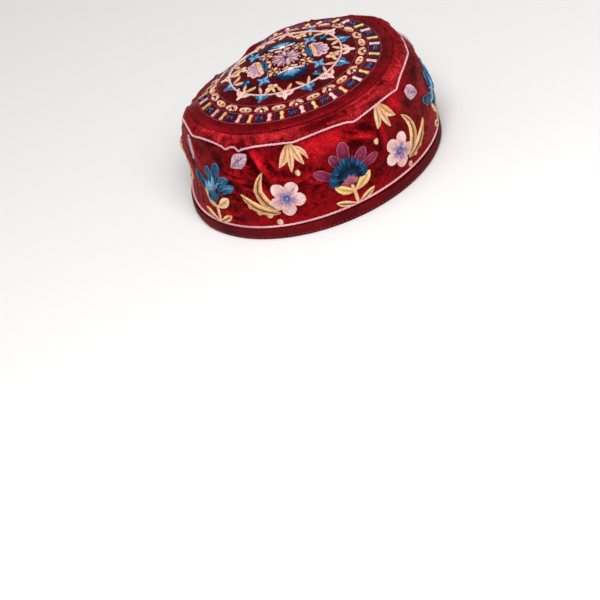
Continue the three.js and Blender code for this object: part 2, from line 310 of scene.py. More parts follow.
class Cloth:
    """The cap's outer face as a grid of points and normals, by direction and drop."""

    COLUMNS = 540
    ROW_STEP = 0.6
    EDGE_STEP, CORD_STEP = 4.0, 2.5  # degrees between readings of the crown's edge and the upper cord
    LOOK_FROM = 50.0  # height of the inner point that sees the whole outer face
    LOOKS = (-27.0, 90.0, 235)  # from its lowest look to its highest, in degrees, and how many
    FAR = 250.0  # outside the cap from that point
    STRAY = 2.5  # a ray that differs by more than this from its neighbours has missed the face
    BLUR = (1.6, 2.0)  # round the cap and up it, in looks
    FULL_CREASE = 1.2  # relief that paints the cloth one whole step lighter on a ridge or darker in a crease, as painted light and shade
    MOST_CREASE = 1.5  # steps
    SHARPNESS = 1.5  # of a fold's crest: 2 is round
    CREST = 2.4  # how narrow the crumples' crests are

    def __init__(self):
        self.rows = int(round((HEM_DROP - APEX_DROP) / self.ROW_STEP)) + 1
        self.drops = np.linspace(APEX_DROP, HEM_DROP, self.rows)
        self.angles = np.arange(self.COLUMNS) * 360 / self.COLUMNS
        self.centre = crown_centre()
        self.read_rings()
        smooth = self.sampled_face()
        self.smooth_normals = self.normals_of(smooth)
        relief = self.relief()
        # Painted light and shade: each point's tone, lighter on ridges and darker in creases, plus the
        # listed painted patches.
        tone = np.clip(relief / self.FULL_CREASE, -self.MOST_CREASE, self.MOST_CREASE)
        self.creases = tone + self.spread_of(PAINTED_LIGHT_PATCHES)
        swell = self.spread_of(SWELLS) * smoothstep(self.drops, HEM_DROP, BINDING_DROP - 6)
        self.points = smooth + self.smooth_normals * (relief + swell)[:, :, None]
        self.normals = self.normals_of(self.points)

    def read_rings(self):
        """The crown's edge and the height of the upper cord, from the frame."""

        def crown_edge(points, radius):
            rim = points[radius > radius.max() - 0.5]
            return radius.max(), rim[:, 2].max()

        def height(points, _radius):
            return points[:, 2].mean()

        crown, cord = node_points("crown_panel"), node_points("upper_cord")
        self.edge_at, edge = ring_of(crown, self.centre, self.EDGE_STEP, crown_edge)
        self.edge_radius, self.edge_height = edge[:, 0], edge[:, 1]
        self.cord_at, self.cord_height = ring_of(cord, self.centre, self.CORD_STEP, height)

    def sampled_face(self):
        """Rays from outside to the inner point find the face. A blur takes the facets away."""
        tree = loose_tree("crown_panel", "shoulder_band", "side_wall")
        eye = Vector((self.centre[0], self.centre[1], self.LOOK_FROM)) * MM
        far = self.FAR * MM
        tilts = np.radians(np.linspace(*self.LOOKS))
        turns = np.radians(np.arange(0, 360, 1.0))
        reach = np.full((len(turns), len(tilts)), np.nan)
        for i, turn in enumerate(turns):
            for j, tilt in enumerate(tilts):
                level = math.cos(tilt)
                way = Vector((level * math.cos(turn), level * math.sin(turn), math.sin(tilt)))
                hit = tree.ray_cast(eye + way * far, -way, far)
                if hit[0] is not None:
                    reach[i, j] = (far - hit[3]) / MM
        typical = np.nanmedian([np.roll(reach, k, 0) for k in (-2, -1, 0, 1, 2)], 0)
        reach = np.where(np.abs(reach - typical) < self.STRAY, reach, typical)
        for i in range(len(turns)):
            known = ~np.isnan(reach[i])
            reach[i] = np.interp(tilts, tilts[known], reach[i][known])
        reach = blurred(blurred(reach, self.BLUR[0], 0, True), self.BLUR[1], 1, False)
        level = np.stack((np.cos(turns), np.sin(turns)), -1)[:, None] * np.cos(tilts)[:, None]
        upright = np.broadcast_to(np.sin(tilts), reach.shape)[..., None]
        ways = np.concatenate((level, upright), -1)
        lines = ways * reach[:, :, None] + np.array((*self.centre, self.LOOK_FROM))
        return self.by_drop(lines, np.degrees(turns))

    def by_drop(self, lines, turns):
        """Spaces each line from hem to apex evenly between hem, cord level, seam and apex."""
        edge_radius = periodic(turns, self.edge_at, self.edge_radius)
        cord_height = self.cord_level(turns)
        rows = np.empty((len(turns), self.rows, 3))
        for i, line in enumerate(lines):
            run = np.concatenate(([0], np.cumsum(np.linalg.norm(np.diff(line, axis=0), axis=1))))
            radius = np.hypot(*(line[:, :2] - self.centre).T)
            last = np.nonzero(radius > edge_radius[i])[0].max()
            share = (radius[last] - edge_radius[i]) / (radius[last] - radius[last + 1])
            seam = run[last] + share * (run[last + 1] - run[last])
            cord = np.interp(cord_height[i], line[:last, 2], run[:last])
            marks = (-HEM_DROP, 0.0, -SEAM_DROP, -APEX_DROP)
            at = np.interp(-self.drops, marks, (0.0, cord, seam, run[-1]))
            rows[i] = np.stack([np.interp(at, run, line[:, k]) for k in range(3)], -1)
        whole = np.append(turns, 360)
        flat = np.concatenate((rows, rows[:1])).reshape(len(whole), -1)
        fine = np.stack([np.interp(self.angles, whole, flat[:, k]) for k in range(flat.shape[1])], -1)
        return fine.reshape(self.COLUMNS, self.rows, 3)

    def cord_level(self, angle):
        """Height of the wall's top edge, without the upper cord's arches and notches."""
        sunk = SEAM_HEIGHT - periodic(angle, self.edge_at, self.edge_height)
        return CORD_HEIGHT - smoothstep(CORD_HEIGHT, SINK_FROM, SEAM_HEIGHT) * sunk

    @staticmethod
    def normals_of(points):
        along = np.roll(points, -1, 0) - np.roll(points, 1, 0)
        down = np.gradient(points, axis=1)
        normal = np.cross(down, along)
        normal[:, :3] = (0.0, 0.0, 1.0)  # the crown's middle, where the columns meet
        return normal / np.linalg.norm(normal, axis=2, keepdims=True)

    def cord_drop(self, angle):
        """Drop of the upper cord: its arches and notches about the wall's top edge."""
        turned = np.abs((angle - SEEN_SIDE - TUCK_AT + 180) % 360 - 180)
        tuck = TUCK_DEPTH * np.clip(1 - turned / TUCK_REACH, 0, 1)
        return self.cord_level(angle) - periodic(angle, self.cord_at, self.cord_height) + tuck

    def relief(self):
        """Fine creases, in mm along the normal, on the whole grid."""
        drop = self.drops[None, :]
        relief = np.zeros((self.COLUMNS, self.rows))
        for fold in FOLDS:
            relief += self.ridge(*fold)
        relief += self.crushed()
        for level, (reach, depth) in (
            (self.cord_drop(self.angles)[:, None], CORD_GROOVE),
            (SEAM_DROP, SEAM_GROOVE),
        ):
            groove = np.exp(-(((drop - level) / reach) ** 2))
            relief = relief * (1 - groove) - depth * groove
        away, reach, rise = SEAM_ROLL
        relief += rise * np.exp(-(((drop - SEAM_DROP + away) / reach) ** 2))
        held = smoothstep(drop, BINDING_DROP - 1, BINDING_DROP - 8)
        return relief * held

    def spread_of(self, places):
        """The sum of soft round places on the grid, from rows of direction, drop, along, down and value."""
        total = np.zeros((self.COLUMNS, self.rows))
        for direction, at, along, down, value in places:
            reach = np.radians(self.turned_from(direction)) * WALL_RADIUS / along
            total += value * np.exp(-(reach[:, None] ** 2) - ((self.drops - at) / down)[None, :] ** 2)
        return total

    def turned_from(self, direction):
        """Degrees from a seen-side direction to each column, from -180 to 180."""
        return (self.angles - SEEN_SIDE - direction + 180) % 360 - 180

    def ridge(self, direction, at, tilt, length, width, rise):
        """One ridge or valley with a sharp crest, worked out only near itself."""
        out = np.zeros((self.COLUMNS, self.rows))
        reach = 2.4 * max(length, width)
        turned = self.turned_from(direction)
        radius = np.where(self.drops > SEAM_DROP, WALL_RADIUS, self.drops - APEX_DROP)
        rows = np.nonzero(np.abs(self.drops - at) < reach)[0]
        if not len(rows):
            return out
        columns = np.nonzero(np.abs(np.radians(turned)) * radius[rows].max() < reach)[0]
        x = np.radians(turned[columns])[:, None] * radius[rows][None, :]
        y = (at - self.drops[rows])[None, :]
        lean = math.radians(tilt)
        lengthwise = (y * math.cos(lean) - x * math.sin(lean)) / length
        across = (x * math.cos(lean) + y * math.sin(lean)) / width
        out[np.ix_(columns, rows)] = rise * np.exp(-(lengthwise**2) - np.abs(across) ** self.SHARPNESS)
        return out

    def crushed(self):
        """Small creases: tucks across the shoulder, a few dents on the crown, crumples on the wall."""
        random = np.random.default_rng(7)
        relief = np.zeros((self.COLUMNS, self.rows))
        for count, tilt, drops, lengths, widths, rises in (
            (74, partial(random.normal, 0, 30), (-10.5, -1.5), (3.0, 6.0), (0.9, 1.6), (0.3, 1.1)),
            (70, partial(random.uniform, 0, 180), (-38, -14), (4, 9), (1.6, 3.4), (0.06, 0.2)),
        ):
            for _ in range(count):
                place = random.uniform(0, 360), random.uniform(*drops)
                shape = tilt(), random.uniform(*lengths), random.uniform(*widths)
                relief += self.ridge(*place, *shape, random.choice((-1, 1)) * random.uniform(*rises))
        share = np.clip(CRUSHED_ELSEWHERE + self.spread_of(CRUSHED), 0, 1)
        wall = smoothstep(self.drops, 1.0, 6.0)[None, :] * share
        for spread, height in ((4.2, 1.3), (2.0, 0.9)):
            relief += self.crumple(random, spread) * height * wall
        return relief

    def crumple(self, random, spread):
        """Crossing creases with sharp crests. spread is their distance in mm."""
        field = random.normal(0, 1, (self.COLUMNS, self.rows))
        column = math.radians(360 / self.COLUMNS) * WALL_RADIUS
        field = blurred(field, spread / column, 0, True)
        field = blurred(field, spread * 0.8 / self.ROW_STEP, 1, False)
        crest = np.exp(-np.abs(field / field.std()) * self.CREST)
        return crest - crest.mean()

    def at(self, seen, drop, lift):
        """Points in mm over the cloth at seen-side directions and drops, lifted along the normal."""
        normal = self.mixed(self.normals, seen, drop)
        return self.mixed(self.points, seen, drop) + normal * np.asarray(lift)[:, None]

    def mixed(self, grid, seen, drop):
        """A grid's values between its points."""
        column = (np.asarray(seen) + SEEN_SIDE) % 360 / (360 / self.COLUMNS)
        row = np.clip((np.asarray(drop) - APEX_DROP) / self.ROW_STEP, 0, self.rows - 1.001)
        i, j = np.floor(column).astype(int) % self.COLUMNS, np.floor(row).astype(int)
        u, v = (column - np.floor(column))[:, None], (row - j)[:, None]
        k = (i + 1) % self.COLUMNS
        above = grid[i, j] * (1 - u) + grid[k, j] * u
        below = grid[i, j + 1] * (1 - u) + grid[k, j + 1] * u
        return above * (1 - v) + below * v


def smoothstep(value, start, end):
    """0 up to start, 1 from end on, and a soft step between."""
    share = np.clip((value - start) / (end - start), 0, 1)
    return share * share * (3 - 2 * share)


cloth = Cloth()


# ---- Places for drawings: x to the right and drop downwards, or outwards on the crown, in mm ----
class OnWall:
    """A drawing's place on the wall, by its seen-side direction and its drop."""

    def __init__(self, seen, drop, mirror):
        self.seen, self.drop, self.mirror = seen, drop, mirror

    def __call__(self, points):
        return self.seen + np.degrees(points[:, 0] * self.mirror / WALL_RADIUS), self.drop + points[:, 1]


class OnCrown:
    """A drawing's place on the crown: its distance from the middle and its seen-side direction.

    shift moves the middle, in mm to the right and towards the seen side. lean turns the drawing on its own
    place, clockwise where it is positive.
    """

    def __init__(self, radius, seen, shift=(0.0, 0.0), lean=0.0):
        self.radius, self.seen, self.shift, self.lean = radius, seen, shift, lean

    def turned(self, degrees):
        """The same place, further round the crown."""
        return OnCrown(self.radius, self.seen + degrees, self.shift, self.lean)

    def __call__(self, points):
        lean, turn = math.radians(self.lean), math.radians(self.seen)
        x = points[:, 0] * math.cos(lean) - points[:, 1] * math.sin(lean)
        y = points[:, 0] * math.sin(lean) + points[:, 1] * math.cos(lean) + self.radius
        across = x * math.cos(turn) + y * math.sin(turn) + self.shift[0]
        towards = y * math.cos(turn) - x * math.sin(turn) + self.shift[1]
        return np.degrees(np.arctan2(across, towards)), APEX_DROP + np.hypot(across, towards)


class Sampler:
    """Collects strands of thread by shade, drawn flat and laid on the cloth."""

    STEP = 2.1  # between a strand's points
    TURN_IN = 0.4  # where a stitch turns down into the cloth
    DIP = 0.25  # how far below its layer it ends
    LIE = 0.18  # a strand's middle line over its layer
    UNEVEN = 0.05  # how much higher a strand may lie
    END_SHADE = 0.2  # how much darker a stitch is where it dips into the cloth
    TINT_SPREAD = 0.10  # from one stitch to the next
    SLANT = 0.7  # of a leaf's stitches towards its tip
    BELLY = 0.75  # of a leaf's outline: lower is fuller
    RAGGED = (0.94, 1.04)  # shares of a leaf's width that its stitches reach
    OVERLAP = 0.12  # of a back stitch over the one before it, as a share of its length
    LATE_START = 0.30  # of every other stitch of a petal, as a share of the petal's length
    BAR_END = 0.62  # width of a bar's first and last stitches, as a share of its own
    EDGE_STITCH = 1.8  # length of the back stitches round a petal

    def __init__(self, seed, pitch, fullness):
        self.strands = {}
        self.pitch = pitch  # from one stitch to the next
        self.fullness = fullness  # share of a drawn width that is stitched
        self.layer = 0.0  # height of the layer that is being stitched, in mm
        self.random = np.random.default_rng(seed)

    def strand(self, place, shade, path, tints, pad):
        """One stitch along path, a function of shares from 0 to 1. pad is how far its middle is raised."""
        ends = path(np.array((0.0, 1.0)))
        middle = path(np.array((0.5,)))
        length = np.linalg.norm(ends[0] - middle[0]) + np.linalg.norm(ends[1] - middle[0])
        inner = min(self.TURN_IN / max(length, 1e-6), 0.3)
        steps = max(int(math.ceil(length / self.STEP)), 2)
        shares = np.concatenate(((0.0,), np.linspace(inner, 1 - inner, steps + 1), (1.0,)))
        lift = self.layer + self.LIE + pad * np.sin(np.pi * shares) + self.random.uniform(0, self.UNEVEN)
        lift[[0, -1]] = self.layer - self.DIP
        seen, drop = place(path(shares))
        tint = np.interp(shares, (0, 1), tints) + self.random.normal(0, self.TINT_SPREAD)
        tint -= self.END_SHADE * np.abs(2 * shares - 1) ** 4
        self.strands.setdefault(shade, []).append((seen, drop, lift, np.clip(tint, 0, 1)))

    def leaf(self, place, shade, base, tip, width, bend=0.0, fat=0.45, tints=(0.35, 1.0), pad=0.4):
        """Satin stitches from a leaf's vein to both edges. fat is where along it the leaf is widest."""
        width *= self.fullness
        spine, side, length = arc(base, tip, bend)
        power = math.log(0.5) / math.log(fat)
        count = max(int(length / self.pitch), 3)

        def half_width(at):
            return width / 2 * math.sin(math.pi * min(at, 0.999) ** power) ** self.BELLY

        for way in (-1, 1):
            for i in range(count):
                start = (i + 0.5) / count
                end = min(start + self.SLANT * half_width(start) / length, 1.0)
                out = side(end) * way * half_width(end) * self.random.uniform(*self.RAGGED)
                self.strand(place, shade, line(spine(start), spine(end) + out), tints, pad)

    def petal(self, place, shade, base, tip, width, narrow, tints, pad, blunt=0.55):
        """Long and short stitches from a petal's foot to its round tip."""
        width *= self.fullness
        spine, side, _length = arc(base, tip, 0.0)
        count = max(int(width / self.pitch), 3)
        for i in range(count):
            across = (i + 0.5) / count * 2 - 1
            start = (self.LATE_START if i % 2 else 0.0) + self.random.uniform(0, 0.06)
            end = 1 - blunt * (1 - math.sqrt(1 - across**2)) - self.random.uniform(0, 0.03)

            def path(shares, across=across, start=start, end=end):
                at = start + (end - start) * shares
                return spine(at) + side(at) * (across * width / 2 * petal_spread(at, narrow))[:, None]

            self.strand(place, shade, path, tints, pad)

    def column(self, place, shade, base, tip, width, bend=0.0, waist=0.0, tints=(0.4, 0.8), pad=0.35):
        """Satin stitches straight across a bar, which may have a waist."""
        width *= self.fullness
        spine, side, length = arc(base, tip, bend)
        count = max(int(length / self.pitch), 3)
        for i in range(count):
            at = (i + 0.5) / count
            half = width / 2 * (1 - waist * math.sin(math.pi * at) ** 4)
            half *= min(1.0, self.BAR_END + 4 * min(at, 1 - at))
            middle, out = spine(at), side(at) * half * self.random.uniform(0.95, 1.05)
            self.strand(place, shade, line(middle - out, middle + out), tints, pad)

    def disc(self, place, shade, centre, radius, tall=1.0, tints=(0.4, 0.85), pad=0.4):
        """Satin stitches across a dot."""
        radius *= self.fullness
        count = max(int(2 * radius * tall / self.pitch), 3)
        for i in range(count):
            y = ((i + 0.5) / count * 2 - 1) * 0.98
            half = radius * math.sqrt(1 - y * y)
            middle = np.array((centre[0], centre[1] + y * radius * tall))
            out = np.array((half, 0.0))
            self.strand(place, shade, line(middle - out, middle + out), tints, pad)

    def loop(self, place, shade, centre, radii, width, tints, pad):
        """Satin stitches across a ring."""
        turn_length = math.pi * (radii[0] + radii[1])
        count = int(turn_length / self.pitch)
        for i in range(count):
            turn = 2 * math.pi * i / count
            way = np.array((math.cos(turn), math.sin(turn)))
            inner = np.array(centre) + way * (np.array(radii) - width)
            outer = np.array(centre) + way * np.array(radii)
            self.strand(place, shade, line(inner, outer), tints, pad)

    def running(self, place, shade, path, length, tints, pad, stitch=2.2):
        """Back stitches end to end along a path."""
        count = max(int(round(length / stitch)), 1)
        for i in range(count):
            a, b = max(i - self.OVERLAP, 0) / count, (i + 1) / count
            self.strand(place, shade, lambda shares, a=a, b=b: path(a + (b - a) * shares), tints, pad)

    def vein(self, place, shade, base, tip, share, tints, bend=0.0):
        """Back stitches along a share of a leaf's or a petal's middle line."""
        spine, _side, length = arc(base, tip, bend)
        first, last = share

        def path(shares):
            return spine(first + (last - first) * shares)

        self.running(place, shade, path, length * (last - first), tints, pad=0.75)

    def burst(self, place, shade, centre, inner, outer, count, tints, pad, fan=180):
        """Uneven stitches that point away from a middle, up to fan degrees either side of upwards."""
        for k in range(count):
            turn = math.pi + math.radians(fan) * (2 * (k + self.random.uniform(-0.35, 0.35)) / count - 1)
            way = np.array((math.sin(turn), math.cos(turn)))
            start = self.random.uniform(*inner)
            end = self.random.uniform(*outer)
            self.strand(place, shade, line(centre + way * start, centre + way * end), tints, pad)

    def rim(self, place, shade, base, tip, width, narrow, tints, blunt=0.55):
        """Back stitches along a petal's outline."""
        width *= self.fullness
        spine, side, length = arc(base, tip, 0.0)

        def path(shares):
            across = np.cos(np.pi * (1 - shares))
            at = 1 - blunt * (1 - np.sqrt(np.clip(1 - across**2, 0, 1)))
            run_in = np.clip(np.sin(np.pi * shares) * 2.2, 0, 1)  # both ends run in towards the foot
            at = at * (0.25 + 0.75 * run_in)
            return spine(at) + side(at) * (across * width / 2 * petal_spread(at, narrow) * 1.02)[:, None]

        self.running(place, shade, path, 2 * length + width, tints, 0.35, self.EDGE_STITCH)

    def edged_petal(self, place, shades, base, tip, width, narrow, tints, edge_tints, blunt=0.55, pad=0.5):
        """A petal with a back-stitched edge. shades are the petal's and the edge's."""
        self.petal(place, shades[0], base, tip, width, narrow, tints, pad, blunt)
        self.rim(place, shades[1], base, tip, width, narrow, edge_tints, blunt)

    def veined_leaf(
        self, place, shades, base, tip, width, bend, fat, tints=(0.35, 1.0), vein_tints=(0.1, 0.3),
        share=(0.05, 0.9), pad=0.4,
    ):
        """A leaf with a raised vein. shades are the leaf's and the vein's."""
        self.leaf(place, shades[0], base, tip, width, bend, fat, tints, pad)
        self.vein(place, shades[1], base, tip, share, vein_tints, bend)


def petal_spread(at, narrow):
    """A petal's width at shares of its length: narrow at the foot, whole from 0.7 on."""
    return narrow + (1 - narrow) * np.sin(np.pi / 2 * np.minimum(at / 0.7, 1))


def line(a, b):
    """A straight path."""
    return lambda shares: a + (b - a) * np.asarray(shares)[:, None]


def arc(base, tip, bend):
    """A spine from base to tip, its side direction and its length. bend moves its middle sideways."""
    a, b = np.array(base, float), np.array(tip, float)
    chord = b - a
    length = np.linalg.norm(chord)
    left = np.array((-chord[1], chord[0])) / length
    control = (a + b) / 2 + left * bend * 2

    def spine(share):
        t = np.asarray(share, float)[..., None]
        return (1 - t) ** 2 * a + 2 * t * (1 - t) * control + t * t * b

    def side(share):
        t = np.asarray(share, float)[..., None]
        slope = 2 * (1 - t) * (control - a) + 2 * t * (b - control)
        slope = slope / np.linalg.norm(slope, axis=-1, keepdims=True)
        return np.stack((-slope[..., 1], slope[..., 0]), -1)

    return spine, side, length * (1 + 2.2 * (bend / length) ** 2)


# ---- The wall's flowers, drawn from the upper cord downwards ----
def stem_leaves(work, place, foot, tips, width, bend):
    """The gold leaves at a stem's foot."""
    for tip in tips:
        work.veined_leaf(place, ("gold", "brown"), foot, tip, width, bend * np.sign(tip[0]), 0.6)


def purple_flower(work, place):
    """Purple petals behind a ruff of navy ones with a rose heart, on a stem with yellow and gold leaves."""
    stem_foot, stem_top, heart = (0.4, 61.3), (-0.4, 45.0), (-0.4, 41.5)
    work.column(place, "cream", stem_foot, stem_top, 2.5, bend=0.5)
    stem_leaves(work, place, stem_foot, ((-14.4, 55.0), (15.0, 55.2)), 4.8, 0.5)
    work.leaf(place, "yellow", (-0.4, 50.6), (-12.4, 41.4), 6.4, bend=-1.2, tints=(0.3, 1.0), pad=0.7)
    ends, tones = ((0.6, 50.6), (15.2, 41.4)), ((0.3, 1.0), (0.3, 0.6))
    work.veined_leaf(place, ("yellow", "gold"), *ends, 7.8, 0.6, 0.6, *tones, share=(0.1, 0.8), pad=0.8)
    for tip, foot, width in (
        ((1.4, 11.4), (0.2, 27.0), 9.6),
        ((-9.0, 17.8), (-4.4, 29.5), 7.2),
        ((-23.4, 26.6), (-10.5, 36.0), 7.4),
        ((17.0, 23.0), (6.0, 32.5), 8.2),
        ((24.4, 31.8), (9.5, 36.4), 6.8),
    ):
        work.edged_petal(place, ("purple", "mauve"), foot, tip, width, 0.5, (0.0, 0.8), (0.0, 0.5))
        work.vein(place, "mauve", foot, tip, share=(0.45, 0.9), tints=(0.0, 0.1))
    work.layer = 0.25
    for tip, width in (
        ((-15.0, 38.6), 6.4),
        ((-12.8, 31.6), 7.0),
        ((-7.0, 27.0), 6.8),
        ((0.0, 23.4), 7.2),
        ((6.4, 26.8), 6.8),
        ((11.6, 31.8), 7.0),
        ((13.6, 38.4), 6.4),
    ):
        foot = np.array(heart) * 0.55 + np.array(tip) * 0.45
        tones = (0.0, 0.9), (0.3, 1.0)
        work.edged_petal(place, ("navy", "navy"), foot, tip, width, 0.7, *tones, blunt=0.4, pad=0.6)
    for tip in ((-7.6, 34.6), (-3.0, 31.0), (2.8, 31.0), (7.2, 34.8)):
        work.petal(place, "navy", heart, tip, 5.6, narrow=0.5, tints=(0.7, 0.0), pad=0.6)
    work.burst(place, "ink", (0, 38), (4.0, 8.0), (9.0, 14.0), 44, tints=(0.0, 0.5), pad=0.9, fan=115)
    work.burst(place, "blue", (0, 38), (6.0, 10.0), (10.0, 15.5), 26, tints=(0.1, 0.9), pad=0.9, fan=115)
    work.layer = 0.5
    for tip in ((-7.2, 41.6), (-4.8, 37.8), (-0.6, 35.8), (3.4, 37.6), (5.4, 41.4)):
        work.petal(place, "rose", (-0.5, 44.6), tip, 3.2, narrow=0.35, tints=(0.0, 0.5), pad=0.5)
        work.vein(place, "purple", (-0.5, 44.6), tip, share=(0.1, 0.95), tints=(0.4, 0.9))
    work.layer = 0.0


def blue_flower(work, place):
    """Long blue petals with a pale blue heart, on a stem with cream and gold leaves."""
    stem_foot, stem_top = (2.8, 61.3), (1.6, 48.4)
    work.column(place, "cream", stem_foot, stem_top, 2.7, bend=0.3)
    stem_leaves(work, place, stem_foot, ((-12.4, 54.4), (15.8, 53.8)), 5.0, 0.6)
    work.leaf(place, "cream", (1.0, 50.0), (-10.0, 39.2), 5.0, bend=-1.4, fat=0.4)
    work.leaf(place, "cream", (2.0, 50.2), (15.2, 40.6), 7.0, bend=0.8, fat=0.62)
    for tip, foot, width, tints in (
        ((-22.0, 28.6), (-4.0, 38.0), 8.0, (0.3, 0.05)),
        ((-0.6, 17.8), (0.2, 32.0), 6.2, (0.1, 0.3)),
        ((11.4, 12.8), (4.6, 31.0), 8.4, (0.05, 0.35)),
        ((20.0, 22.4), (5.0, 32.8), 6.8, (0.3, 0.8)),
        ((23.2, 30.6), (6.0, 37.0), 6.6, (0.3, 0.85)),
    ):
        work.edged_petal(place, ("blue", "blue"), foot, tip, width, 0.45, tints, (0.6, 1.0), pad=0.25)
    for tip in ((20.0, 22.4), (23.2, 30.6)):
        work.vein(place, "sky", (5.5, 34.5), tip, share=(0.3, 0.92), tints=(0.1, 0.5))
    work.layer = 0.3
    lobes = ((-7.4, 42.0), 4.6), ((-3.4, 37.0), 4.6), ((1.8, 35.6), 4.8), ((6.6, 38.0), 4.6)
    for tip, width in lobes:
        work.petal(place, "blue", (1.6, 45.4), tip, width, narrow=0.4, tints=(0.0, 0.35), pad=0.4)
    for tip in ((-11.4, 37.0), (-8.4, 32.6), (-3.4, 29.4), (3.8, 24.6)):
        work.petal(place, "sky", (2.0, 36.6), tip, 3.6, narrow=0.5, tints=(0.15, 0.85), pad=0.5)
    heart = (2.0, 38.0)
    work.burst(place, "ink", heart, (5.0, 9.0), (10.0, 15.0), 15, tints=(0.1, 0.6), pad=0.5, fan=88)
    work.burst(place, "blue", heart, (6.0, 9.0), (10.0, 16.0), 11, tints=(0.6, 1.0), pad=0.6, fan=88)
    work.petal(place, "sky", (3.0, 36.0), (9.6, 28.6), 2.6, narrow=0.5, tints=(0.0, 0.4), pad=0.5)
    work.layer = 0.0


def pink_spray(work, place):
    """A pink flower with two gold leaves at its outer side, drawn from the flower's middle."""
    for base, tip, width, bend, fat in (
        ((-7.0, 8.4), (-12.6, -22.4), 7.6, -9.4, 0.42),
        ((-7.0, 10.2), (-34.2, -5.0), 7.0, -3.6, 0.45),
    ):
        leaf = base, tip, width, bend, fat
        work.veined_leaf(place, ("gold", "brown"), *leaf, (0.0, 1.0), (0.0, 0.3), (0.06, 0.92), 0.7)
    for scallop in ((-28.6, 3.4), (-22.4, 8.4), (-15.4, 11.4)):
        work.disc(place, "gold", scallop, 2.4, tints=(0.4, 0.8))
    pink_flower(work, place)


def pink_flower(work, place):
    """Five pink petals with lilac rays and a pale blue eye."""
    tips = ((-7.8, -11.4), (7.6, -11.2), (12.6, 3.4), (-0.4, 13.2), (-12.4, 5.2))
    for tip in tips:
        petal = np.array(tip) * 0.12, tip, 10.4, 0.28
        work.edged_petal(place, ("pink", "pink"), *petal, (0.2, 1.0), (0.8, 1.0), blunt=0.62, pad=0.8)
    work.layer = 0.35
    for tip in tips:
        way = np.array(tip) / math.hypot(*tip)
        for side in (-1, 0, 1):
            lean = np.array((way[1], -way[0])) * side * 2.2
            end = way * (8.4 - abs(side) * 1.6) + lean
            work.petal(place, "lilac", way * 1.0, end, 1.9, narrow=0.6, tints=(0.15, 1.0), pad=0.7)
    work.burst(place, "lilac", (0, 0), (0.4, 2.0), (4.0, 6.8), 14, tints=(0.0, 0.3), pad=0.9)
    work.burst(place, "pink", (0, 0), (2.4, 3.4), (4.0, 5.6), 10, tints=(0.6, 1.0), pad=0.9)
    work.disc(place, "sky", (0, 0), 1.1, tints=(0.1, 0.4), pad=0.8)
    work.layer = 0.0


def gold_trio(work, place):
    """Three leaves that hang from the upper cord, the broadest to the left."""
    for base, tip, width, bend in (
        ((-1.4, 0.6), (-10.2, 15.6), 6.6, -1.4),
        ((1.9, 0.6), (7.6, 16.4), 5.4, 0.8),
        ((0.2, 0.6), (-2.4, 20.6), 5.0, -0.3),
    ):
        leaf = base, tip, width, bend, 0.48
        work.veined_leaf(place, ("cream", "gold"), *leaf, (0.0, 1.0), (0.0, 0.3), pad=0.9)


def hooked_leaf(work, place):
    """The slim leaf that curls out to the right of a trio."""
    work.leaf(place, "cream", (2.6, 2.6), (11.4, 13.4), 3.4, bend=-1.6, tints=(0.0, 1.0))


def mauve_leaf(work, place):
    """A broad leaf with a speckled middle."""
    foot, tip = (-6.4, 4.8), (6.6, -4.6)
    work.leaf(place, "mauve", foot, tip, 11.0, fat=0.54, tints=(0.3, 0.9), pad=0.8)
    work.burst(place, "lilac", (0.4, 0), (0.4, 2.4), (1.6, 4.0), 16, tints=(0.2, 0.9), pad=1.0)
    work.burst(place, "pink", (0.4, 0), (0.4, 2.4), (1.6, 4.0), 12, tints=(0.5, 1.0), pad=1.0)


def upright_leaf(work, place):
    """A mauve leaf that stands almost upright."""
    leaf = (-1.0, -8.6), (2.0, 9.4), 8.0, 0.8, 0.5
    work.veined_leaf(place, ("mauve", "purple"), *leaf, (0.1, 1.0), (0.5, 0.9), pad=0.8)


def gold_dot(work, place):
    """The tall dot under a trio."""
    work.disc(place, "cream", (0, 0), 1.9, tall=1.3, tints=(0.5, 0.9))


def low_dot(work, place):
    """The dot beside the lower cord."""
    work.disc(place, "peach", (0, 0), 2.2, tall=1.05, tints=(0.4, 0.9))


def twin_spray(work, place):
    """A pink flower between two purple ones: a gold leaf at each side."""
    for way in (-1, 1):
        leaf = (way * -6.4, 8.4), (way * -13.5, -21.0), 7.0, way * -7.5, 0.42
        work.veined_leaf(place, ("gold", "brown"), *leaf, (0.2, 0.75))
    pink_flower(work, place)


WALL_WORK = (
    # drawing, direction from the seen side's middle, drop, mirror
    (blue_flower, -57.0, 0.0, 1),
    (blue_flower, 82.0, 0.0, 1),
    (purple_flower, 12.5, 0.0, 1),
    (purple_flower, 156.5, 0.0, 1),
    (purple_flower, -131.5, 0.0, 1),
    (pink_spray, -17.0, 40.5, 1),
    (pink_spray, 39.8, 41.8, -1),
    (pink_spray, 128.1, 40.8, 1),
    (twin_spray, -167.5, 40.8, 1),
    (pink_spray, -103.1, 40.8, -1),
    (hooked_leaf, -9.8, 0.0, 1),
    (hooked_leaf, 132.5, 0.0, 1),
    (hooked_leaf, -151.5, 0.0, 1),
    (gold_trio, -9.8, 0.0, 1),
    (gold_trio, 38.0, 0.0, -1),
    (gold_trio, 132.5, 0.0, 1),
    (gold_trio, 176.5, 0.0, -1),
    (gold_trio, -151.5, 0.0, 1),
    (gold_trio, -107.5, 0.0, -1),
    (mauve_leaf, -35.9, 8.8, 1),
    (mauve_leaf, 60.5, 13.0, -1),
    (mauve_leaf, 107.5, 10.5, 1),
    (upright_leaf, -71.0, 9.0, 1),
    (gold_dot, -9.0, 22.6, 1),
    (gold_dot, 29.8, 24.0, 1),
    (gold_dot, 136.5, 22.8, 1),
    (gold_dot, 176.5, 22.8, 1),
    (gold_dot, -151.5, 22.8, 1),
    (gold_dot, -111.5, 22.8, 1),
    (low_dot, -23.0, 58.0, 1),
    (low_dot, 44.5, 58.0, 1),
    (low_dot, 122.5, 58.0, 1),
    (low_dot, -167.5, 58.0, 1),
    (low_dot, -97.5, 58.0, 1),
)


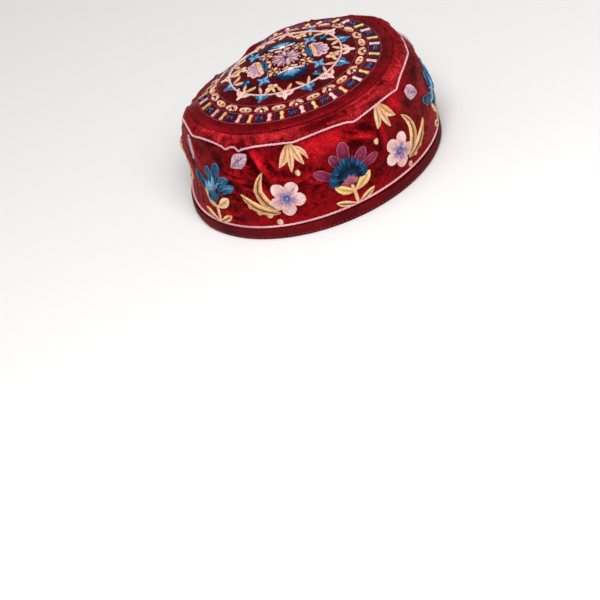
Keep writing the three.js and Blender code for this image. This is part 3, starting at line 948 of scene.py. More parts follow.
# ---- The crown's rings of motifs, drawn from the middle outwards ----
def rosette(work, place):
    """Eight slim petals with forked ends, and peach curls round them."""
    for k in range(8):
        petal = place.turned(45 * k)
        work.leaf(petal, "mauve", (0, 1.6), (0, 10.8), 5.0, fat=0.6, tints=(0.9, 0.1), pad=0.6)
        work.vein(petal, "pink", (0, 2.4), (0, 10.8), share=(0.2, 1.0), tints=(0.4, 1.0))
        gap = place.turned(45 * k + 22.5)
        work.vein(gap, "pink", (0, 5.4), (0, 10.6), share=(0.0, 1.0), tints=(0.2, 0.9))
    for k in range(4):
        curl = place.turned(90 * k)
        for way in (-1, 1):
            foot, tip = (way * 1.0, 11.6), (way * 5.6, 13.6)
            work.leaf(curl, "peach", foot, tip, 2.3, bend=way * 0.8, tints=(0.3, 1.0))
    work.layer = 0.3
    work.disc(place, "ink", (0, 0), 2.1)
    work.disc(place, "pink", (0.8, 3.4), 1.0, tints=(0.8, 1.0))
    work.layer = 0.0


def crosslet(work, place):
    """Four petals, the two that point in and out brighter."""
    for tip in ((5.0, 0), (-5.0, 0)):
        work.petal(place, "peach", (0, 0), tip, 3.0, narrow=0.35, tints=(0.1, 0.9), pad=0.5)
    for tip in ((0, 5.4), (0, -5.4)):
        work.petal(place, "peach", (0, 0), tip, 2.8, narrow=0.4, tints=(0.6, 1.0), pad=0.6)
    for tip in ((3.2, 3.2), (-3.2, 3.2), (3.2, -3.2), (-3.2, -3.2)):
        work.disc(place, "peach", tip, 0.9, tints=(0.0, 0.5))
    work.disc(place, "brown", (0, 0), 0.9, pad=0.8)


def palmette(work, place):
    """Navy lobes that end in a point, a pale blue heart and a pale collar."""
    for tip, width in (
        ((-13.0, 20.6), 8.4),
        ((13.0, 20.6), 8.4),
        ((-8.6, 26.4), 9.4),
        ((8.6, 26.4), 9.4),
        ((0.0, 30.2), 9.0),
    ):
        work.edged_petal(place, ("navy", "ink"), (0, 18.4), tip, width, 0.55, (1.0, 0.0), (0.0, 0.8))
    work.layer = 0.3
    for tip in ((-7.0, 23.0), (7.0, 23.0), (-3.4, 25.0), (3.4, 25.0), (0.0, 27.0)):
        work.petal(place, "sky", (0, 18.6), tip, 3.4, narrow=0.4, tints=(0.8, 0.0), pad=0.5)
        work.vein(place, "navy", (0, 20.0), tip, share=(0.3, 1.0), tints=(0.3, 0.9))
    for way in (-1, 1):
        work.leaf(place, "pink", (way * 1.6, 16.6), (way * 10.0, 18.6), 2.2, tints=(0.6, 1.0))
        work.disc(place, "peach", (way * 7.4, 16.8), 1.0, tints=(0.4, 1.0))
    work.disc(place, "pink", (0, 16.8), 2.7, tall=0.8, tints=(0.9, 1.0), pad=0.6)
    work.layer = 0.0


def shell(work, place):
    """A fan of mauve lobes over a yellow band, with a dark lens at its foot."""
    for tip in ((-10.2, 22.8), (10.2, 22.8), (-8.4, 28.0), (8.4, 28.0), (-3.2, 31.0), (3.2, 31.0)):
        work.petal(place, "mauve", (0, 20.5), tip, 7.4, narrow=0.45, tints=(0.0, 1.0), pad=0.5)
        work.vein(place, "purple", (0, 21.0), tip, share=(0.45, 0.9), tints=(0.2, 0.6))
        work.rim(place, "pink", (0, 20.5), tip, 7.4, narrow=0.45, tints=(0.4, 1.0))
    work.layer = 0.3
    work.leaf(place, "gold", (-8.2, 20.8), (8.2, 20.8), 3.6, fat=0.5, tints=(0.4, 1.0), pad=0.5)
    for way in (-1, 1):
        work.disc(place, "pink", (way * 7.8, 19.8), 1.5, tints=(0.7, 1.0))
    work.layer = 0.0
    work.leaf(place, "blue", (-8.2, 16.8), (8.2, 16.8), 5.0, fat=0.5, tints=(0.0, 0.5), pad=0.5)


def star(work, place):
    """Four pale blue points round a dark middle."""
    for tip in ((0, 5.8), (5.6, 0), (0, -5.8), (-5.6, 0)):
        work.leaf(place, "sky", (0, 0), tip, 3.0, fat=0.36, tints=(0.6, 0.0), pad=0.4)
    for tip in ((2.0, 2.0), (-2.0, 2.0), (2.0, -2.0), (-2.0, -2.0)):
        work.disc(place, "blue", tip, 1.0, tints=(0.1, 0.8))
    work.disc(place, "navy", (0, 0), 1.0, pad=0.7)


def trefoil(work, place):
    """Three peach lobes on a short stem that points outwards."""
    for tip in ((-4.8, -0.8), (4.8, -0.8), (0, -4.6)):
        work.petal(place, "peach", (0, 2.0), tip, 5.0, narrow=0.4, tints=(0.45, 1.0), pad=0.5)
    for tip in ((-2.6, -2.0), (2.6, -2.0)):
        work.vein(place, "brown", (0, 1.6), tip, share=(0.2, 1.0), tints=(0.2, 0.8))
    work.leaf(place, "yellow", (0, 1.4), (0, 6.4), 2.2, tints=(0.3, 0.9))


def clover(work, place):
    """Three dark lobes with a peach foot and a pale dot outside them."""
    for tip in ((-4.8, 0.2), (4.8, 0.2), (0, 5.2)):
        work.edged_petal(place, ("navy", "ink"), (0, -1.8), tip, 5.4, 0.4, (0.9, 0.0), (0.0, 0.6))
    work.disc(place, "sky", (0, -1.6), 1.1, tints=(0.1, 0.5), pad=0.7)
    work.disc(place, "sky", (0, 7.4), 1.3, tints=(0.6, 1.0))


def leaf_pair(work, place):
    """Two leaves that open inwards from the circle."""
    for way in (-1, 1):
        work.leaf(place, "peach", (way * 1.3, 4.0), (way * 5.2, -3.0), 2.7, fat=0.5, tints=(0.2, 1.0))


def tulip(work, place, edge="blue", heart="sky", reach=5.2):
    """Two wings along the circle and one point outwards."""
    for way in (-1, 1):
        foot, tip = (way * 0.3, 1.6), (way * reach, -2.8)
        work.leaf(place, edge, foot, tip, 3.4, bend=way * 0.7, tints=(0.2, 1.0))
    work.leaf(place, edge, (0, -3.0), (0, 5.8), 4.4, fat=0.36, tints=(0.3, 1.0), pad=0.5)
    work.layer = 0.2
    work.petal(place, heart, (0, 3.0), (0, -3.2), 2.2, narrow=0.4, tints=(0.7, 1.0), pad=0.6)
    work.layer = 0.0


def pink_tulip(work, place):
    """A wider tulip with a bead at its foot and a vein in each wing."""
    tulip(work, place, "pink", "cream", 6.6)
    work.disc(place, "peach", (0, -3.6), 1.0, pad=0.7)
    for way in (-1, 1):
        work.vein(place, "mauve", (0, 1.6), (way * 5.0, -2.0), share=(0.2, 0.9), tints=(0.0, 0.4))


def oval(work, place):
    """A long peach ring round a bead."""
    work.loop(place, "peach", (0, 0), (5.3, 2.7), 1.6, tints=(1.0, 0.0), pad=0.5)
    work.disc(place, "cream", (0, 0), 1.1, tall=1.4, tints=(0.7, 1.0), pad=0.7)


def bow(work, place):
    """A peach arch over a pale bead."""
    for way in (-1, 1):
        foot, tip = (way * 0.2, -2.2), (way * 5.0, 1.4)
        work.leaf(place, "peach", foot, tip, 2.9, bend=way * -0.9, tints=(0.1, 1.0))
        work.disc(place, "peach", (way * 3.0, 1.9), 0.8, tints=(0.0, 0.5))
    work.disc(place, "pink", (0, 1.9), 1.3, tints=(0.7, 1.0), pad=0.6)


BEADS = (
    # degrees from the double block, shade, width, height
    (6.3, "pink", 4.0, 7.4),
    (10.4, "ink", 2.6, 5.6),
    (14.4, "yellow", 3.7, 7.7),
)


def blocks(work, place):
    """One unit of the outer ring: a double block, a pink bead, a small block and a yellow bead."""
    for side in (-1.75, 1.75):
        work.column(place, "ink", (side, -3.5), (side, 3.5), 3.5, waist=0.3, tints=(0.0, 0.9), pad=0.5)
        work.burst(place, "lilac", (side, 0), (0.2, 1.0), (1.2, 2.4), 3, tints=(0.1, 0.6), pad=0.9)
        work.column(place, "navy", (side, -0.9), (side, 0.9), 1.4, tints=(0.5, 1.0), pad=0.8)
    for degrees, shade, width, tall in BEADS:
        bead = place.turned(degrees)
        ends = (0, -tall / 2), (0, tall / 2)
        work.column(bead, shade, *ends, width, waist=0.4, tints=(0.2, 1.0), pad=0.6)


def stitched_ring(work, place, shade="plum"):
    """Fine stitches end to end round the crown."""

    def path(shares):
        turn = np.radians(shares * 360)
        return np.stack((place.radius * np.sin(turn), place.radius * np.cos(turn)), -1)

    whole = 2 * math.pi * place.radius
    work.running(OnCrown(0.0, 0.0), shade, path, whole, stitch=3.2, tints=(0.3, 0.8), pad=0.2)


def seam_ring(work, place):
    """The crown's seam, in thread of the velvet's own colour."""
    stitched_ring(work, place, "crimson")


INNER = (2.6, 1.6)  # how far the inner motifs are off the crown's middle
OUTER = (1.3, 0.0)  # how far those round the circle are
EVEN = (0.0, 0.0)  # the rings run true
CROWN_WORK = (
    # drawing, distance from the middle, first direction, how many round the crown, shift, lean
    (rosette, 0.0, 3.0, 1, INNER, 0.0),
    (crosslet, 17.4, 48.0, 4, INNER, 0.0),
    (palmette, 0.0, 2.0, 2, INNER, 0.0),
    (shell, 0.0, 94.0, 2, INNER, 0.0),
    (star, 28.0, 49.0, 2, INNER, 0.0),
    (star, 28.0, -46.0, 2, INNER, 0.0),
    (trefoil, 34.5, -28.0, 1, INNER, -40.0),
    (trefoil, 34.0, 71.0, 1, INNER, 60.0),
    (trefoil, 34.5, 156.0, 1, INNER, 0.0),
    (trefoil, 34.5, -104.0, 1, INNER, -45.0),
    (clover, 35.0, 31.0, 1, INNER, 0.0),
    (clover, 35.0, 122.0, 1, INNER, 0.0),
    (clover, 35.0, -138.0, 1, INNER, 0.0),
    (clover, 35.6, -67.0, 1, INNER, 0.0),
    (leaf_pair, 38.0, 13.0, 8, OUTER, 0.0),
    (leaf_pair, 38.0, -9.4, 8, OUTER, 0.0),
    (tulip, 45.2, 13.0, 8, OUTER, 0.0),
    (pink_tulip, 45.2, -9.4, 8, OUTER, 0.0),
    (oval, 57.7, 12.6, 14, EVEN, 0.0),
    (bow, 57.5, -0.3, 14, EVEN, 0.0),
    (blocks, 66.4, -4.1, 17, EVEN, 0.0),
    (stitched_ring, 53.7, 0.0, 1, EVEN, 0.0),
    (stitched_ring, 61.7, 0.0, 1, EVEN, 0.0),
    (stitched_ring, 71.0, 0.0, 1, EVEN, 0.0),
    (seam_ring, CROWN_RADIUS - 0.6, 0.0, 1, EVEN, 0.0),
)


# ---- Materials ----
class Wire:
    """An output in a material's node tree. Arithmetic on it adds Math nodes."""

    def __init__(self, finish, socket):
        self.finish, self.socket = finish, socket

    def beside(self, name):
        """Another output of the same node."""
        return Wire(self.finish, self.socket.node.outputs[name])

    def maths(self, operation, first, second):
        return self.finish.node("ShaderNodeMath", {"operation": operation}, {0: first, 1: second})

    def __add__(self, other):
        return self.maths("ADD", self, other)

    def __radd__(self, other):
        return self.maths("ADD", other, self)

    def __sub__(self, other):
        return self.maths("SUBTRACT", self, other)

    def __rsub__(self, other):
        return self.maths("SUBTRACT", other, self)

    def __mul__(self, other):
        return self.maths("MULTIPLY", self, other)

    def __rmul__(self, other):
        return self.maths("MULTIPLY", other, self)


class Finish:
    """A material under construction, in the object's own coordinates."""

    def __init__(self, name):
        self.material = bpy.data.materials.new(name)
        self.material.use_nodes = True
        self.tree = self.material.node_tree
        self.tree.nodes.clear()
        self.where = self.node("ShaderNodeTexCoord", output="Object")

    def node(self, kind, settings=None, sockets=None, output=0):
        """Adds a node: its settings first, then the values or wires of its sockets. Returns one output,
        or none for the material's last node."""
        made = self.tree.nodes.new(kind)
        for key, value in (settings or {}).items():
            setattr(made, key, value)
        for key, value in (sockets or {}).items():
            if isinstance(value, Wire):
                self.tree.links.new(value.socket, made.inputs[key])
            else:
                made.inputs[key].default_value = value
        return None if output is None else Wire(self, made.outputs[output])

    def noise(self, scale, detail=2.0, distortion=0.0):
        """Noise with this many waves to a metre."""
        sockets = {"Vector": self.where, "Scale": scale, "Detail": detail, "Distortion": distortion}
        return self.node("ShaderNodeTexNoise", {}, sockets)

    def between(self, factor, dark, light):
        """A colour between two, by a factor."""
        settings = {"data_type": "RGBA", "clamp_factor": True}
        return self.node("ShaderNodeMix", settings, {0: factor, 6: (*dark, 1), 7: (*light, 1)}, 2)

    def attribute(self, name):
        return self.node("ShaderNodeAttribute", {"attribute_name": name}, output="Fac")

    def bump(self, height, strength, distance):
        sockets = {"Height": height, "Strength": strength, "Distance": distance}
        return self.node("ShaderNodeBump", {}, sockets)

    def surface(self, **sockets):
        """Ends the material in a Principled surface. Underscores in names stand for spaces."""
        named = {key.replace("_", " "): value for key, value in sockets.items()}
        shader = self.node("ShaderNodeBsdfPrincipled", {}, named)
        self.node("ShaderNodeOutputMaterial", {}, {"Surface": shader}, None)
        return self.material


def shade(colour, factor):
    """A lighter or darker tone of a colour."""
    return tuple(min(max(channel * factor, 0.0), 1.0) for channel in colour)


def velvet(name, colour, lustre, tuft):
    """Crushed velvet with a lustre, painted lighter on ridges and darker in creases as painted light and
    shade. tuft is the strength of its small streaks.
    """
    finish = Finish(name)
    patches = finish.noise(60.0, 2.0, 0.6)
    streaks = finish.noise(300.0, 4.0, 1.2)
    nap = finish.noise(1900.0, 1.0)
    crease = finish.attribute("crease")
    factor = (patches - 0.5) * 0.45 + (streaks - 0.5) * 0.9 * tuft + (nap - 0.5) * 0.25
    # Painted light and shade: lighter on ridges and on the painted bright patches, darker in creases and on
    # the painted dark patches.
    factor = factor + crease * 0.30 + 0.18
    height = patches * 0.6 + streaks * 0.8 + nap * 0.12
    return finish.surface(
        Base_Color=finish.between(factor, shade(colour, 0.25), shade(colour, 3.8)),
        Metallic=lustre,
        Roughness=0.52 - streaks * 0.28 - crease * 0.07,
        Normal=finish.bump(height, 0.8 * tuft, 0.0038),
        Specular_IOR_Level=0.25,
        Specular_Tint=(1.0, 0.08, 0.09, 1.0),
        Sheen_Weight=0.06,
        Sheen_Roughness=0.35,
        Sheen_Tint=(1.0, 0.04, 0.06, 1.0),
    )


def lining(colour):
    """The wrong side: a plain close weave."""
    finish = Finish("Lining")
    patches = finish.noise(60.0, 2.0)
    threads = finish.noise(2400.0, 1.0)
    factor = (patches - 0.5) * 0.8 + (threads - 0.5) * 0.8 + 0.5
    return finish.surface(
        Base_Color=finish.between(factor, shade(colour, 0.6), shade(colour, 1.25)),
        Roughness=0.9,
        Normal=finish.bump(threads, 0.4, 0.0003),
    )


def woven(colour):
    """The binding: a plain weave along its own run, with a faint sheen."""
    finish = Finish("Binding Weave")
    run = finish.node("ShaderNodeUVMap", {"uv_map": "run"})
    along = finish.node("ShaderNodeSeparateXYZ", {}, {"Vector": run}, "X")
    across = along.beside("Y")

    def wave(value, turns):
        return finish.node("ShaderNodeMath", {"operation": "SINE"}, {0: value * (turns * 2 * math.pi)})

    warp, weft = wave(along, 1250.0), wave(across, 1100.0)
    slubs = finish.noise(300.0, 3.0)
    height = warp * 0.5 + weft * 0.5 + slubs * 0.8
    crease = finish.attribute("crease")
    # Painted light and shade: lighter where the binding swells out, darker where it sinks.
    factor = warp * weft * 0.16 + (slubs - 0.5) * 1.1 + crease * 0.6 + 0.5
    return finish.surface(
        Base_Color=finish.between(factor, shade(colour, 0.45), shade(colour, 1.6)),
        Roughness=0.78,
        Normal=finish.bump(height, 0.35, 0.00025),
        Specular_IOR_Level=0.2,
        Specular_Tint=(1.0, 0.2, 0.2, 1.0),
    )


def satin(name, dark, light, roughness=0.36):
    """Floss: a soft shine, from its dark to its light end by the stitch, with fine filaments."""
    finish = Finish(name)
    tint = finish.attribute("tint")
    fine = finish.noise(2200.0, 1.0)
    broad = finish.noise(140.0, 2.0)
    factor = tint + (fine - 0.5) * 0.5 + (broad - 0.5) * 0.5
    return finish.surface(
        Base_Color=finish.between(factor, dark, light),
        Roughness=roughness + (fine - 0.5) * 0.2,
        Normal=finish.bump(fine, 0.25, 0.0001),
        Specular_IOR_Level=0.15 + 0.5 * max(light),
        Specular_Tint=(*(0.35 + 0.65 * channel / max(light) for channel in light), 1.0),
    )


# ---- Pieces ----
LINING_STEP = 4  # the lining has one ring for so many of the pile


def link(name, data):
    """Puts a mesh, a light or a camera in the scene."""
    made = bpy.data.objects.new(name, data)
    bpy.context.scene.collection.objects.link(made)
    return made


def ride(piece, slot, *replaced):
    """Joins a piece to the cap's body and hides the frame's nodes that it stands for. slot, its finish, is
    not used.
    """
    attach(piece, BODY)
    if replaced:
        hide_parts(*replaced)


def ring_mesh(name, rings, closed, materials, index, creases):
    """A mesh through rings of points, in mm, that go round the cap. index picks each gap's material, and
    creases holds each point's painted light and shade.
    """
    count, columns = rings.shape[:2]
    gaps = count if closed else count - 1
    upper = np.arange(gaps)[:, None] * columns
    lower = ((np.arange(gaps) + 1) % count)[:, None] * columns
    here, following = np.arange(columns), (np.arange(columns) + 1) % columns
    faces = np.stack((upper + here, lower + here, lower + following, upper + following), -1).reshape(-1, 4)
    mesh = bpy.data.meshes.new(name)
    mesh.from_pydata((rings.reshape(-1, 3) * MM).tolist(), [], faces.tolist())
    mesh.polygons.foreach_set("use_smooth", [True] * len(faces))
    for material in materials:
        mesh.materials.append(material)
    mesh.polygons.foreach_set("material_index", np.repeat(np.asarray(index, dtype=np.int32), columns))
    tone = mesh.attributes.new("crease", "FLOAT", "POINT")
    tone.data.foreach_set("value", creases.ravel())
    mesh.update()
    return mesh


def add_run(mesh, around_run, across_run):
    """UV coordinates on a closed ring mesh, in metres: round the cap and across the strip."""
    right = np.append(around_run[1:], 2 * around_run[-1] - around_run[-2])
    u = np.tile(np.stack((around_run, around_run, right, right), -1), (len(across_run) - 1, 1))
    above, below = across_run[:-1], across_run[1:]
    v = np.repeat(np.stack((above, below, below, above), -1), len(around_run), 0)
    layer = mesh.uv_layers.new(name="run")
    layer.data.foreach_set("uv", np.stack((u, v), -1).ravel())
    mesh.update()


def cloth_piece(name, columns, drops, thick, outer, inner, pole):
    """A closed sheet of cloth: its pile, its edges and a coarser lining.

    drops is a function of the directions: one row of drops for each ring. pole says that the first ring is
    the crown's middle, where the sheet has no edge.
    """
    seen = np.arange(columns) * 360 / columns
    outside = drops(seen)
    back = np.unique(np.append(np.arange(0, len(outside), LINING_STEP), len(outside) - 1))[::-1]
    every = np.concatenate((outside, outside[back]))
    lift = np.concatenate((np.zeros(len(outside)), np.full(len(back), -thick)))
    flat_seen, flat_drop = np.tile(seen, len(every)), every.ravel()
    points = cloth.at(flat_seen, flat_drop, np.repeat(lift, columns)).reshape(len(every), columns, 3)
    # The painted light and shade of each point; the lining has none.
    creases = cloth.mixed(cloth.creases[..., None], flat_seen, flat_drop).reshape(len(every), columns)
    creases[len(outside) :] = 0.0
    index = [0] * len(outside) + [1] * (len(back) - 1)
    if not pole:
        index.append(0)
    mesh = ring_mesh(name, points, not pole, (outer, inner), index, creases)
    if pole:
        close_pole(mesh)
    return link(name, mesh)


def close_pole(mesh):
    """Merges the points that meet in the middle of the crown."""
    work = bmesh.new()
    work.from_mesh(mesh)
    bmesh.ops.remove_doubles(work, verts=work.verts, dist=0.001 * MM)
    work.to_mesh(mesh)
    work.free()


# ---- The binding and its stitches, in mm ----
BINDING_RISE = np.linspace(0.96, 0.14, 9)  # heights of its outer rings, as shares of the whole
BINDING_FOOT = 0.6  # height of the lowest points on the frame's outer face
LEVEL_WITHIN = 0.05  # points this close in height are on one level
BINDING_SWELL = 0.28  # how far its outer face swells
BINDING_UNEVEN = 0.45  # how much the swell changes round the hem
BINDING_BLUR = 4.0  # how slowly it changes, in columns
STITCHED_RING = 7  # the outer ring that its stitches follow
STITCH_GAP = 3.3
STITCH_LENGTH = 1.3
STITCH_RADIUS = 0.2
STITCH_LIFT = np.array((-0.2, 0.22, 0.22, -0.2))  # of a stitch's four points over the cloth


def binding_rings(columns):
    """The binding's soft U round the hem, as rings from its outer top to its inner top."""

    def radii(points, radius):
        def at_height(height):
            return np.unique(np.round(radius[np.abs(points[:, 2] - height) < LEVEL_WITHIN], 2))

        top, floor, low = at_height(BINDING_TOP), at_height(BINDING_FLOOR), at_height(0.0)
        foot = at_height(BINDING_FOOT).max()
        return top.max(), foot, low.min(), top.min(), floor.min(), floor.max(), top[1], top[-2]

    at, sizes = ring_of(node_points("rim_binding"), np.zeros(2), 4, radii)
    turns = np.arange(columns) * 360 / columns
    top, foot, inner_foot, inner_top, floor_in, floor_out, gap_in, gap_out = (
        periodic(turns, at, sizes[:, k]) for k in range(8)
    )
    random = np.random.default_rng(23)
    wave = blurred(random.normal(0, 1, columns), BINDING_BLUR, 0, True) * BINDING_UNEVEN
    rings = []

    def ring(radius, height):
        rings.append((radius, np.broadcast_to(height, (columns,)) + 0.0))

    deep = BINDING_TOP - BINDING_FLOOR
    for share in BINDING_RISE:
        bulge = math.sin(math.pi * share)
        ring(foot + (top - foot) * share + (BINDING_SWELL * bulge + wave * bulge), BINDING_TOP * share)
    for angle in (15, 45, 75):
        lean = math.radians(angle)
        ring(foot - FOOT_ROUND + FOOT_ROUND * math.cos(lean), FOOT_ROUND - FOOT_ROUND * math.sin(lean))
    ring(foot - 1.2, 0.0)
    ring(inner_foot + 0.8, 0.0)
    ring(inner_foot + 0.1, 0.35)
    for share in (0.2, 0.5, 0.8, 0.96):
        ring(inner_foot + (inner_top - inner_foot) * share, BINDING_TOP * share)
    ring((inner_top + gap_in) / 2, BINDING_TOP)
    for share in (0.93, 0.5, 0.05):
        ring(floor_in + (gap_in - floor_in) * share, BINDING_FLOOR + deep * share)
    for share in (0.05, 0.5, 0.93):
        ring(floor_out + (gap_out - floor_out) * share, BINDING_FLOOR + deep * share)
    for share, short in ((0.3, 0.05), (0.75, 0.02)):
        ring(gap_out + (top - gap_out) * share, BINDING_TOP - short + wave * 0.3)
    radius, height = (np.array(values) for values in zip(*rings))
    turn = np.radians(turns)
    points = np.stack((radius * np.cos(turn), radius * np.sin(turn), height), -1)
    creases = np.zeros(radius.shape)
    # Painted light: the binding's colour is painted lighter where it swells out and darker where it sinks.
    creases[: len(BINDING_RISE)] = wave * 2.0
    return points, creases, turns


def hem_stitches(level):
    """A row of short stitches along one level of the binding's outer face."""
    threads = bpy.context.scene.skullcap_threads
    whole = np.linalg.norm(np.diff(level, axis=0, append=level[:1]), axis=1).sum()
    count = round(whole / STITCH_GAP)
    out = level[:, :2] / np.linalg.norm(level[:, :2], axis=1, keepdims=True)
    marks = np.arange(len(level) + 1)
    track = np.column_stack((level, out))
    track = np.concatenate((track, track[:1]))
    lines, tints = [], []
    for k in range(count):
        middle = (k + 0.5) / count * len(level)
        at = (middle + np.linspace(-0.5, 0.5, 4) * STITCH_LENGTH / whole * len(level)) % len(level)
        x, y, z, out_x, out_y = (np.interp(at, marks, track[:, i]) for i in range(5))
        lines.append(np.stack((x + out_x * STITCH_LIFT, y + out_y * STITCH_LIFT, z), -1))
        tints.append(np.full(4, 0.4 + 0.4 * (k % 3) / 2))
    finish = satin("Hem Thread", tuple(threads.plum_dark), tuple(threads.plum_light))
    ride(sweep("Hem_Stitches", lines, tints, STITCH_RADIUS, FLOSS_SIDES, finish), "satin_thread")


# ---- Thread and cord, in mm ----
FLOSS_SIDES = 4  # of a satin stitch's outline
PLY_SIDES = 5
TURN_POINTS = 10  # of a ply in one twist
CORD_LIE = 1.15  # height of a cord's middle line over the cloth, in radii of its plies
PLY_OUT = 0.92  # from there to a ply's own middle line, in the same radii
COUCHING_RADIUS = 0.17
COUCHING_REACH = 0.9  # half a couching stitch's length along the cord
COUCHING_SIDE = 2.0  # half its width across the cord, in radii of the plies
COUCHING_OVER = 2.25, 0.12  # its height: in the same radii, and what it adds to that
COUCHING_DIP = 0.2  # how far its ends are in the cloth


def strand_sweep():
    """A node tree that sweeps a round strand along each of a mesh's lines."""
    tree = bpy.data.node_groups.new("Strand Sweep", "GeometryNodeTree")
    tree.interface.new_socket("Lines", in_out="INPUT", socket_type="NodeSocketGeometry")
    radius = tree.interface.new_socket("Radius", in_out="INPUT", socket_type="NodeSocketFloat")
    radius.subtype = "DISTANCE"
    tree.interface.new_socket("Sides", in_out="INPUT", socket_type="NodeSocketInt")
    tree.interface.new_socket("Finish", in_out="INPUT", socket_type="NodeSocketMaterial")
    tree.interface.new_socket("Strands", in_out="OUTPUT", socket_type="NodeSocketGeometry")

    def node(kind, **sockets):
        made = tree.nodes.new(kind)
        for key, value in sockets.items():
            socket = made.inputs[key.replace("_", " ")]
            if isinstance(value, bpy.types.NodeSocket):
                tree.links.new(value, socket)
            else:
                socket.default_value = value
        return made

    start = tree.nodes.new("NodeGroupInput").outputs
    curves = node("GeometryNodeMeshToCurve", Mesh=start["Lines"])
    outline = node("GeometryNodeCurvePrimitiveCircle", Resolution=start["Sides"], Radius=start["Radius"])
    swept = node(
        "GeometryNodeCurveToMesh", Curve=curves.outputs[0], Profile_Curve=outline.outputs[0], Fill_Caps=True
    )
    smooth = node("GeometryNodeSetShadeSmooth", Geometry=swept.outputs[0], Shade_Smooth=True)
    real = node("GeometryNodeRealizeInstances", Geometry=smooth.outputs[0])
    finished = node("GeometryNodeSetMaterial", Geometry=real.outputs[0], Material=start["Finish"])
    end = tree.nodes.new("NodeGroupOutput")
    tree.links.new(finished.outputs[0], end.inputs["Strands"])
    return tree


def sweep(name, lines, tints, radius, sides, material, closed=False):
    """A piece of strands: each line is an array of points in mm, and each point has a tint."""
    tree = bpy.data.node_groups.get("Strand Sweep") or strand_sweep()
    sizes = np.array([len(line) for line in lines])
    starts = np.concatenate(([0], np.cumsum(sizes)[:-1]))
    points = np.concatenate(lines)
    index = np.arange(len(points))
    inner = np.ones(len(points), dtype=bool)
    inner[starts + sizes - 1] = False
    edges = np.stack((index[inner], index[inner] + 1), -1)
    if closed:
        edges = np.concatenate((edges, np.stack((starts + sizes - 1, starts), -1)))
    mesh = bpy.data.meshes.new(name)
    mesh.from_pydata((points * MM).tolist(), edges.tolist(), [])
    tone = mesh.attributes.new("tint", "FLOAT", "POINT")
    tone.data.foreach_set("value", np.concatenate(tints))
    piece = link(name, mesh)
    modifier = piece.modifiers.new("Strands", "NODES")
    modifier.node_group = tree
    socket = {item.name: item.identifier for item in tree.interface.items_tree if item.in_out == "INPUT"}
    modifier[socket["Radius"]] = radius * MM
    modifier[socket["Sides"]] = sides
    modifier[socket["Finish"]] = material
    graph = bpy.context.evaluated_depsgraph_get()
    swept = bpy.data.meshes.new_from_object(piece.evaluated_get(graph))
    piece.modifiers.clear()
    piece.data = swept
    swept.name = name
    return piece


def twisted(seen, drop, lift, ply, pitch):
    """Two plies twisted round a closed middle line on the cloth: their lines, in mm."""
    middle = cloth.at(seen, drop, lift)
    outward = cloth.mixed(cloth.smooth_normals, seen, drop)
    tangent = np.roll(middle, -1, 0) - np.roll(middle, 1, 0)
    tangent /= np.linalg.norm(tangent, axis=1, keepdims=True)
    side = np.cross(tangent, outward)
    side /= np.linalg.norm(side, axis=1, keepdims=True)
    up = np.cross(side, tangent)
    run = np.concatenate(([0], np.cumsum(np.linalg.norm(np.diff(middle, axis=0), axis=1))))
    whole = run[-1] + np.linalg.norm(middle[0] - middle[-1])
    turn = run / whole * round(whole / pitch) * 2 * math.pi
    plies = []
    for start in (0.0, math.pi):
        cosine, sine = np.cos(turn + start)[:, None], np.sin(turn + start)[:, None]
        plies.append(middle + (side * cosine + up * sine) * ply)
    return plies, whole


def cord(name, node, drop, ring, material, ply, pitch, gap):
    """A couched cord of two plies, with the stitches that hold it down.

    drop is a function of the directions and ring the cord's mean distance from the axis. ply is the radius
    of one ply, pitch the length of a twist and gap the distance between the stitches.
    """
    steps = int(2 * math.pi * ring / pitch) * TURN_POINTS
    seen = np.arange(steps) * 360 / steps
    drops = drop(seen)
    plies, whole = twisted(seen, drops, np.full(steps, ply * CORD_LIE), ply * PLY_OUT, pitch)
    random = np.random.default_rng(31)
    uneven = [blurred(random.normal(0, 1, steps), 20, 0, True) for _ in plies]
    tints = [np.clip(0.55 + tone * 1.2, 0, 1) for tone in uneven]
    ride(sweep(name, plies, tints, ply, PLY_SIDES, material, closed=True), "couched_cord", node)
    lines, tones = [], []
    count = int(whole / gap)
    lean = math.degrees(COUCHING_REACH / ring)
    reach = np.linspace(-1, 1, 7)
    height = ply * COUCHING_OVER[0] * np.sqrt(np.clip(1 - reach**2 * 0.98, 0, 1)) + COUCHING_OVER[1]
    height[[0, -1]] = -COUCHING_DIP
    for k in range(count):
        at = (k + random.uniform(-0.15, 0.15)) / count * 360
        level = float(np.interp(at % 360, seen, drops, period=360))
        lines.append(cloth.at(at + lean * reach, level + reach * ply * COUCHING_SIDE, height))
        tones.append(np.full(len(reach), np.clip(random.normal(0.5, 0.2), 0, 1)))
    stitches = sweep(name + "_Couching", lines, tones, COUCHING_RADIUS, FLOSS_SIDES, material)
    ride(stitches, "couched_cord")


def embroider(name, seed, drawings, settings, fullness):
    """Stitches a list of drawings and makes one piece of each shade."""
    work = Sampler(seed, settings.pitch / MM, fullness)
    for drawing, place in drawings:
        drawing(work, place)
    for tone, strands in work.strands.items():
        lines = [cloth.at(seen, drop, lift) for seen, drop, lift, _tint in strands]
        tints = [tint for *_place, tint in strands]
        material = bpy.data.materials.get(tone.capitalize() + " Floss")
        if material is None:
            dark, light = getattr(settings, tone + "_dark"), getattr(settings, tone + "_light")
            material = satin(tone.capitalize() + " Floss", tuple(dark), tuple(light))
        piece = sweep(f"{name}_{tone}", lines, tints, settings.radius / MM, FLOSS_SIDES, material)
        ride(piece, "satin_thread")


# ---- Sizes and colours that a user may change ----
def colour(name, description, default):
    return bpy.props.FloatVectorProperty(
        name=name, description=description, default=default, subtype="COLOR", size=3, min=0.0, max=1.0
    )


def length(name, description, default, low, high):
    return bpy.props.FloatProperty(
        name=name, description=description, default=default, min=low, max=high, unit="LENGTH", precision=5
    )


def share(name, description, default):
    return bpy.props.FloatProperty(
        name=name, description=description, default=default, min=0.0, max=1.0, subtype="FACTOR"
    )


